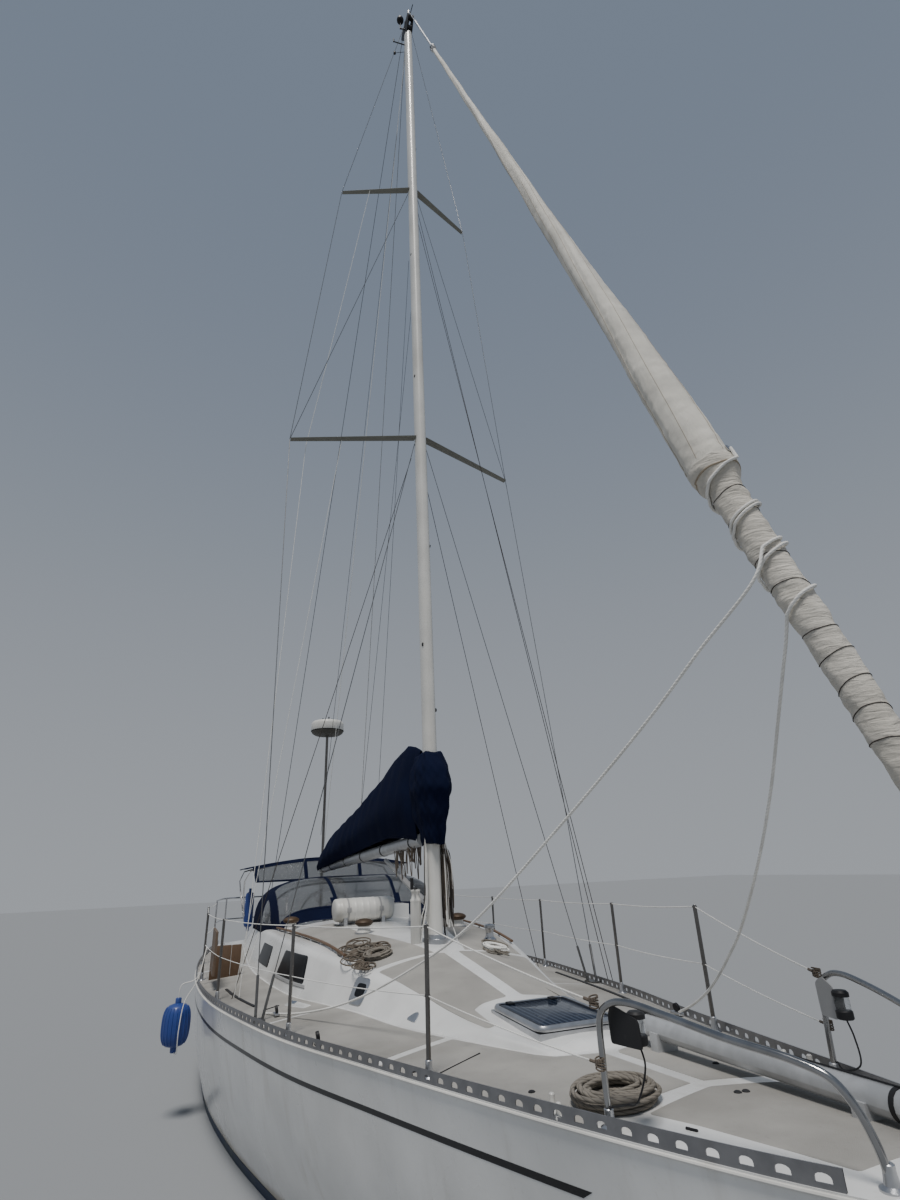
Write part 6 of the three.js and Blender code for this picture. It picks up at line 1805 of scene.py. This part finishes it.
def add_deck_fittings():
    """Tracks that follow the deck edge, blocks, eyes, ties and a thin dark line, fairleads, and a plate with
    its strip.
    """
    metal, dark, white = Shape(), Shape(), Shape()
    on = lambda x, y: float(deck_z(x, y))
    for side, low, high, inside in ((1, -0.6, 2.05, 0.17), (-1, -1.7, -0.5, 0.22)):
        xs = np.linspace(low, high, 60)
        ys = side * (deck_half(xs) - inside)
        line = rounded([(-0.013, 0), (0.013, 0), (0.013, 0.011), (-0.013, 0.011)], 0.003, 3)
        rings = np.stack([xs, ys, deck_z(xs, ys)], -1)[:, None] + np.column_stack(
            [np.zeros(len(line)), line[:, 0], line[:, 1]])[None]
        dark.grid(rings, wrap=True, ends=True)
    for x, y in ((1.82, 1.06), (1.2, -1.24), (0.06, -1.35)):
        z = on(x, y)
        metal.block((x - 0.05, y - 0.02, z + 0.009), (x + 0.05, y + 0.02, z + 0.026), 0.004)
        dark.lathe([(0.022, -0.01), (0.026, -0.009), (0.026, 0.009), (0.022, 0.01)], (x, y, z + 0.05),
            (0, 1, 0.2), sides=24)
    for x, y in ((3.04, 0.284), (3.447, 0.026), (3.453, 0.063), (2.9, -0.62), (2.2, -0.93)):
        z = on(x, y)
        dark.lathe([(0.016, -0.002), (0.016, 0.004), (0.01, 0.008), (0.004, 0.009)], (x, y, z), sides=18)
    for sx, sy, ex, ey in ((3.627, -0.389, 3.673, -0.376), (-0.267, -1.413, -0.34, -1.277)):
        a, b = np.array([sx, sy, on(sx, sy) + 0.002]), np.array([ex, ey, on(ex, ey) + 0.002])
        dark.rod(a, b, 0.006, 8)
    # A thin dark line laid across the starboard foredeck.
    a, b = np.array([2.341, -0.852]), np.array([2.172, -0.548])
    dark.rod((a[0], a[1], on(*a) + 0.003), (b[0], b[1], on(*b) + 0.003), 0.004, 8)
    for x, y, yaw in ((3.17, -0.655, -0.3), (3.17, 0.655, 0.3), (-5.2, -1.6, 0.1), (-5.2, 1.6, -0.1)):
        z = on(x, y)
        turn_it = lambda p, x=x, y=y, z=z, yaw=yaw: turned(p, "Z", yaw) + (x, y, z)
        white.block((-0.09, -0.02, -0.002), (0.09, 0.02, 0.012), 0.005, turn_it)
        for end in (-0.06, 0.06):
            white.lathe([(0.016, 0.01), (0.012, 0.02), (0.012, 0.045), (0.008, 0.05)],
                        turn_it(np.array([(end, 0, 0.0)]))[0], sides=16)
    metal.made("deck_blocks", "alloy")
    dark.made("deck_tracks", "black", outward=True)
    white.made("fairleads", "white")
    plate = np.array([(-0.474, -1.15), (-0.317, -1.24), (-0.03, -1.125), (-0.092, -1.05)])
    strip = np.array([(-0.45, -1.154), (-0.37, -1.2), (-0.28, -1.164), (-0.36, -1.122)])
    Shape().patch(rounded(plate, 0.02, 4), on_deck, 0.004).made("deck_plate", "gelcoat", outward=True)
    strip = Shape().patch(rounded(strip, 0.01, 4), on_deck, 0.006)
    strip.made("deck_plate_strip", "dull_blue", outward=True)


class YACHT_OT_gear(bpy.types.Operator):
    """Winches, canister, spinnaker pole, fenders, board and radar"""
    bl_idname = "yacht.gear"
    bl_label = "Deck gear"

    def execute(self, context):
        for node, look, slot in (("radar_pole", "dark_steel", "spar_white"),
                ("primary_winch_port", "steel", "alloy"), ("primary_winch_starboard", "steel", "alloy"),
                ("mast_winch_post", "white", None), ("canister_cradle", "alloy", None),
                ("rail_board", "board", None)):
            refined(node, look, bevel=0.002)
        dome = Shape().lathe([(0.25, 0.06), (0.298, 0.066), (0.306, 0.08), (0.306, 0.19), (0.3, 0.225),
            (0.27, 0.25), (0.2, 0.266), (0.1, 0.276), (0.03, 0.28)], RADOME, sides=56)
        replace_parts(dome.made("radome_shell", "white", sharp=50), "radome")
        base = Shape().lathe([(0.06, -0.02), (0.17, -0.012), (0.24, 0.0), (0.285, 0.03), (0.3, 0.058),
            (0.298, 0.066)], RADOME, sides=56)
        base.made("radome_base", "dark_plastic")
        seam = Shape().lathe([(0.3, 0.066), (0.309, 0.067), (0.309, 0.075), (0.3, 0.077)], RADOME, sides=56)
        for k in range(3):
            x, y = RADOME[0] + 0.1 * math.cos(2.1 * k), RADOME[1] + 0.1 * math.sin(2.1 * k)
            seam.rod((x, y, 4.89), (x, y, 4.95), 0.012, 12)
        seam.made("radome_seam", "black", merge=1e-5)
        planks = Shape()
        for k in range(3):
            planks.block((-2.6, -1.75 + 0.11 * k, 1.16), (-2.575, -1.645 + 0.11 * k, 1.5), 0.004)
        planks.made("stern_boards", "board")
        add_canister()
        add_pole()
        add_fenders()
        add_roof_winch()
        add_deck_fittings()
        return {"FINISHED"}


class YACHT_OT_under(bpy.types.Operator):
    """Wheel, pedestal and guard, keel, rudder, propeller and its bracket"""
    bl_idname = "yacht.under"
    bl_label = "Steering and underwater gear"

    def execute(self, context):
        for node, look, body, bevel in (("steering_wheel", "steel", "steering_wheel", 0),
                ("wheel_pedestal", "white", "hull", 0.006), ("pedestal_guard", "steel", "hull", 0),
                ("keel", "bottom", "hull", 0.003), ("rudder", "bottom", "rudder", 0.003),
                ("propeller", "bronze", "propeller", 0.001), ("shaft_bracket", "bronze", "hull", 0.002)):
            refined(node, look, body, bevel=bevel)
        return {"FINISHED"}


def coil_path(x, y, middle, rope, across, layers, base, step=0.0075):
    """Turns of a rope laid side by side and in layers: the radius goes to and fro between the inner and the
    outer turn while the height climbs by one rope at each end, and sines of the angle and of the turn's
    number make each turn lie a little differently, as in a coil dropped on deck."""
    turns = across * layers
    count = int(turns * 2 * np.pi * middle / step)
    turn = np.linspace(0, turns, count)
    layer = np.minimum(np.floor(turn / across), layers - 1)
    inside = turn / across - layer
    out = np.where(layer % 2 == 0, inside, 1 - inside)
    radius = middle + (out - 0.5) * (across - 1) * rope * 1.42
    climb = np.clip((inside - 0.85) / 0.15, 0, 1) * (layer < layers - 1)
    height = rope / 2 + (layer + climb * climb * (3 - 2 * climb)) * rope * 1.22
    angle = 2 * np.pi * turn
    loose = rope * (0.34 * np.sin(2 * angle + 1.3 * turn) + 0.24 * np.sin(3 * angle + 2.1 * turn + 1))
    lift = rope * (0.2 + 0.12 * np.sin(angle + 2.4 * turn) + 0.08 * np.sin(2 * angle + 1.7 * turn))
    px = x + (radius + loose) * np.cos(angle) + 0.5 * rope * np.sin(2.3 * turn)
    py = y + (radius + loose) * np.sin(angle) + 0.5 * rope * np.sin(1.9 * turn + 1)
    return np.stack([px, py, base(px, py) + height + lift], -1)


def heap(shape, x, y, size, seed, base, radius, rounds=7):
    """Loose loops: a circle whose centre, radius and height wander with sines drawn from one seed."""
    rng = np.random.default_rng(seed)
    t = np.linspace(0, rounds, rounds * 44)
    a, b, c, d = rng.uniform(0, 6.3, 4)
    reach = size * (0.62 + 0.3 * np.sin(1.7 * t + a))
    px = x + 0.45 * size * np.sin(1.13 * t + b) + reach * np.cos(2 * np.pi * t)
    py = y + 0.3 * size * np.sin(0.83 * t + c) + 0.7 * reach * np.sin(2 * np.pi * t)
    rise = radius * (1 + 1.9 * (t / rounds) * rounds / 3.2) + radius * 0.8 * (1 + np.sin(7.1 * t + d))
    return shape.tube(np.stack([px, py, base(px, py) + rise], -1), radius, 8)


class YACHT_OT_ropes(bpy.types.Operator):
    """The genoa's two sheets, the coils on the foredeck and the roof, and loose lines on the roof"""
    bl_idname = "yacht.ropes"
    bl_label = "Free ropes"

    def execute(self, context):
        path = through(SHEET_ROUTE, 260)
        sheet = Shape().tube(path, SHEET_DIAMETER / 2, 12).made("port_sheet_rope", "white_rope")
        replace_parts(sheet, "port_sheet")
        length_of(path)
        lead = through(STARBOARD_SHEET, 300)
        made = Shape().tube(lead, SHEET_DIAMETER / 2, 12).made("starboard_sheet_rope", "white_rope")
        length_of(lead)
        for name, (x, y, middle, rope, layers) in COILS.items():
            base = deck_z if name == "foredeck_coil" else roof_z
            path = coil_path(x, y, middle, rope, chosen()[1].coil_turns, layers, base)
            look = "white_rope" if name == "roof_coil_port" else "rope"
            coil = Shape().tube(path, rope / 2, 12, strands=3, lay=0.06)
            made = coil.made(name + "_rope", look, slot="rope")
            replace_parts(made, name)
            length_of(path)
            print(name, "length", round(length_of(path), 2))
        brown, white = Shape(), Shape()
        for x, y, size, seed in ((0.0, -0.72, 0.16, 3), (-0.28, -0.66, 0.17, 5), (-0.1, -0.5, 0.13, 8),
                (0.3, -0.72, 0.1, 12)):
            heap(brown, x, y, size, seed, roof_z, 0.0055)
        for x, y, size, seed in ((-0.15, -0.62, 0.16, 9), (0.16, 0.5, 0.16, 4), (0.42, 0.4, 0.12, 14)):
            heap(white, x, y, size, seed, roof_z, 0.0055, 5)
        brown.made("roof_lines_brown", "tie")
        white.made("roof_lines_white", "rope")
        return {"FINISHED"}


CAMERA_PLACE, CAMERA_TURN = (5.9245, -2.1485, 2.2393), (157.82, 22.9, -2.24)
SENSOR, FOCAL_PIXELS, PHOTO_HEIGHT = 36.0, 629, 1200
SUN_WAY, SUN_STRENGTH, SUN_COLOUR = (-0.42, 0.3, -1.3), 2.9, (1.0, 0.97, 0.93)
HORIZON, ZENITH, SKY_STRENGTH = (0.54, 0.57, 0.61), (0.27, 0.33, 0.43), 0.66
FLOOR_COLOUR = (0.27, 0.28, 0.29, 1)


class YACHT_OT_stage(bpy.types.Operator):
    """The camera, a pale floor at the waterline, and soft light from the sky and the starboard bow"""
    bl_idname = "yacht.stage"
    bl_label = "Stage"

    def execute(self, context):
        scene = context.scene
        yaw, pitch, roll = (math.radians(k) for k in CAMERA_TURN)
        flat = math.cos(pitch)
        ahead = np.array([math.cos(yaw) * flat, math.sin(yaw) * flat, math.sin(pitch)])
        level = np.array([math.sin(yaw), -math.cos(yaw), 0.0])
        above = np.cross(level, ahead)
        right = math.cos(roll) * level + math.sin(roll) * above
        up = math.cos(roll) * above - math.sin(roll) * level
        lens = bpy.data.cameras.new("camera")
        lens.sensor_fit, lens.sensor_width, lens.lens = "AUTO", SENSOR, FOCAL_PIXELS / PHOTO_HEIGHT * SENSOR
        lens.clip_start, lens.clip_end = 0.05, 400
        camera = bpy.data.objects.new("camera", lens)
        scene.collection.objects.link(camera)
        turn = np.column_stack([right, up, -ahead, CAMERA_PLACE])
        camera.matrix_world = Matrix([*turn.tolist(), (0, 0, 0, 1)])
        scene.camera = camera
        far = 60.0
        floor = bpy.data.meshes.new("floor")
        floor.from_pydata([(-far, -far, 0), (far, -far, 0), (far, far, 0), (-far, far, 0)], [],
            [(0, 1, 2, 3)])
        ground = bpy.data.objects.new("floor", floor)
        scene.collection.objects.link(ground)
        paint = bpy.data.materials.new("floor")
        paint.use_nodes = True
        shader = paint.node_tree.nodes["Principled BSDF"]
        shader.inputs["Base Color"].default_value = FLOOR_COLOUR
        shader.inputs["Roughness"].default_value = 0.8
        floor.materials.append(paint)
        sun = bpy.data.lights.new("key", "SUN")
        sun.energy, sun.angle, sun.color = SUN_STRENGTH, math.radians(16), SUN_COLOUR
        key = bpy.data.objects.new("key", sun)
        scene.collection.objects.link(key)
        key.rotation_euler = Vector(SUN_WAY).to_track_quat("-Z", "Y").to_euler()
        world = bpy.data.worlds.new("sky")
        scene.world = world
        world.use_nodes = True
        wires = Wires(world.node_tree)
        background = world.node_tree.nodes["Background"]
        height = wires.add("SeparateXYZ", Vector=wires.add("TexCoord").outputs["Generated"]).outputs[2]
        sky = wires.mix(wires.step(height, -0.1, 0.9), HORIZON, ZENITH)
        wires.feed(background.inputs["Color"], sky)
        background.inputs["Strength"].default_value = SKY_STRENGTH
        return {"FINISHED"}


STEPS = (YACHT_OT_stage, YACHT_OT_ropes, YACHT_OT_hull, YACHT_OT_coachroof, YACHT_OT_hatches,
    YACHT_OT_rails, YACHT_OT_spars, YACHT_OT_sails, YACHT_OT_canopies, YACHT_OT_gear, YACHT_OT_under)


class YACHT_PT_steps(bpy.types.Panel):
    """The building steps and what they read"""
    bl_label = "Sailing yacht"
    bl_idname = "YACHT_PT_steps"
    bl_space_type = "VIEW_3D"
    bl_region_type = "UI"
    bl_category = "Yacht"

    def draw(self, context):
        for held in (context.scene.yacht_colours, context.scene.yacht_sizes):
            for key in held.bl_rna.properties.keys():
                if key not in ("rna_type", "name"):
                    self.layout.prop(held, key)
        for step in STEPS:
            self.layout.operator(step.bl_idname)


CLASSES = (YachtColours, YachtSizes, *STEPS, YACHT_PT_steps)


def register():
    """Adds the classes, and the scene's colours and sizes."""
    for cls in CLASSES:
        bpy.utils.register_class(cls)
    bpy.types.Scene.yacht_colours = PointerProperty(type=YachtColours)
    bpy.types.Scene.yacht_sizes = PointerProperty(type=YachtSizes)


def unregister():
    """Takes out what register added."""
    del bpy.types.Scene.yacht_sizes, bpy.types.Scene.yacht_colours
    for cls in reversed(CLASSES):
        bpy.utils.unregister_class(cls)


def main():
    """Runs every step."""
    register()
    for step in STEPS:
        area, name = step.bl_idname.split(".")
        getattr(getattr(bpy.ops, area), name)()


if __name__ == "__main__":
    main()
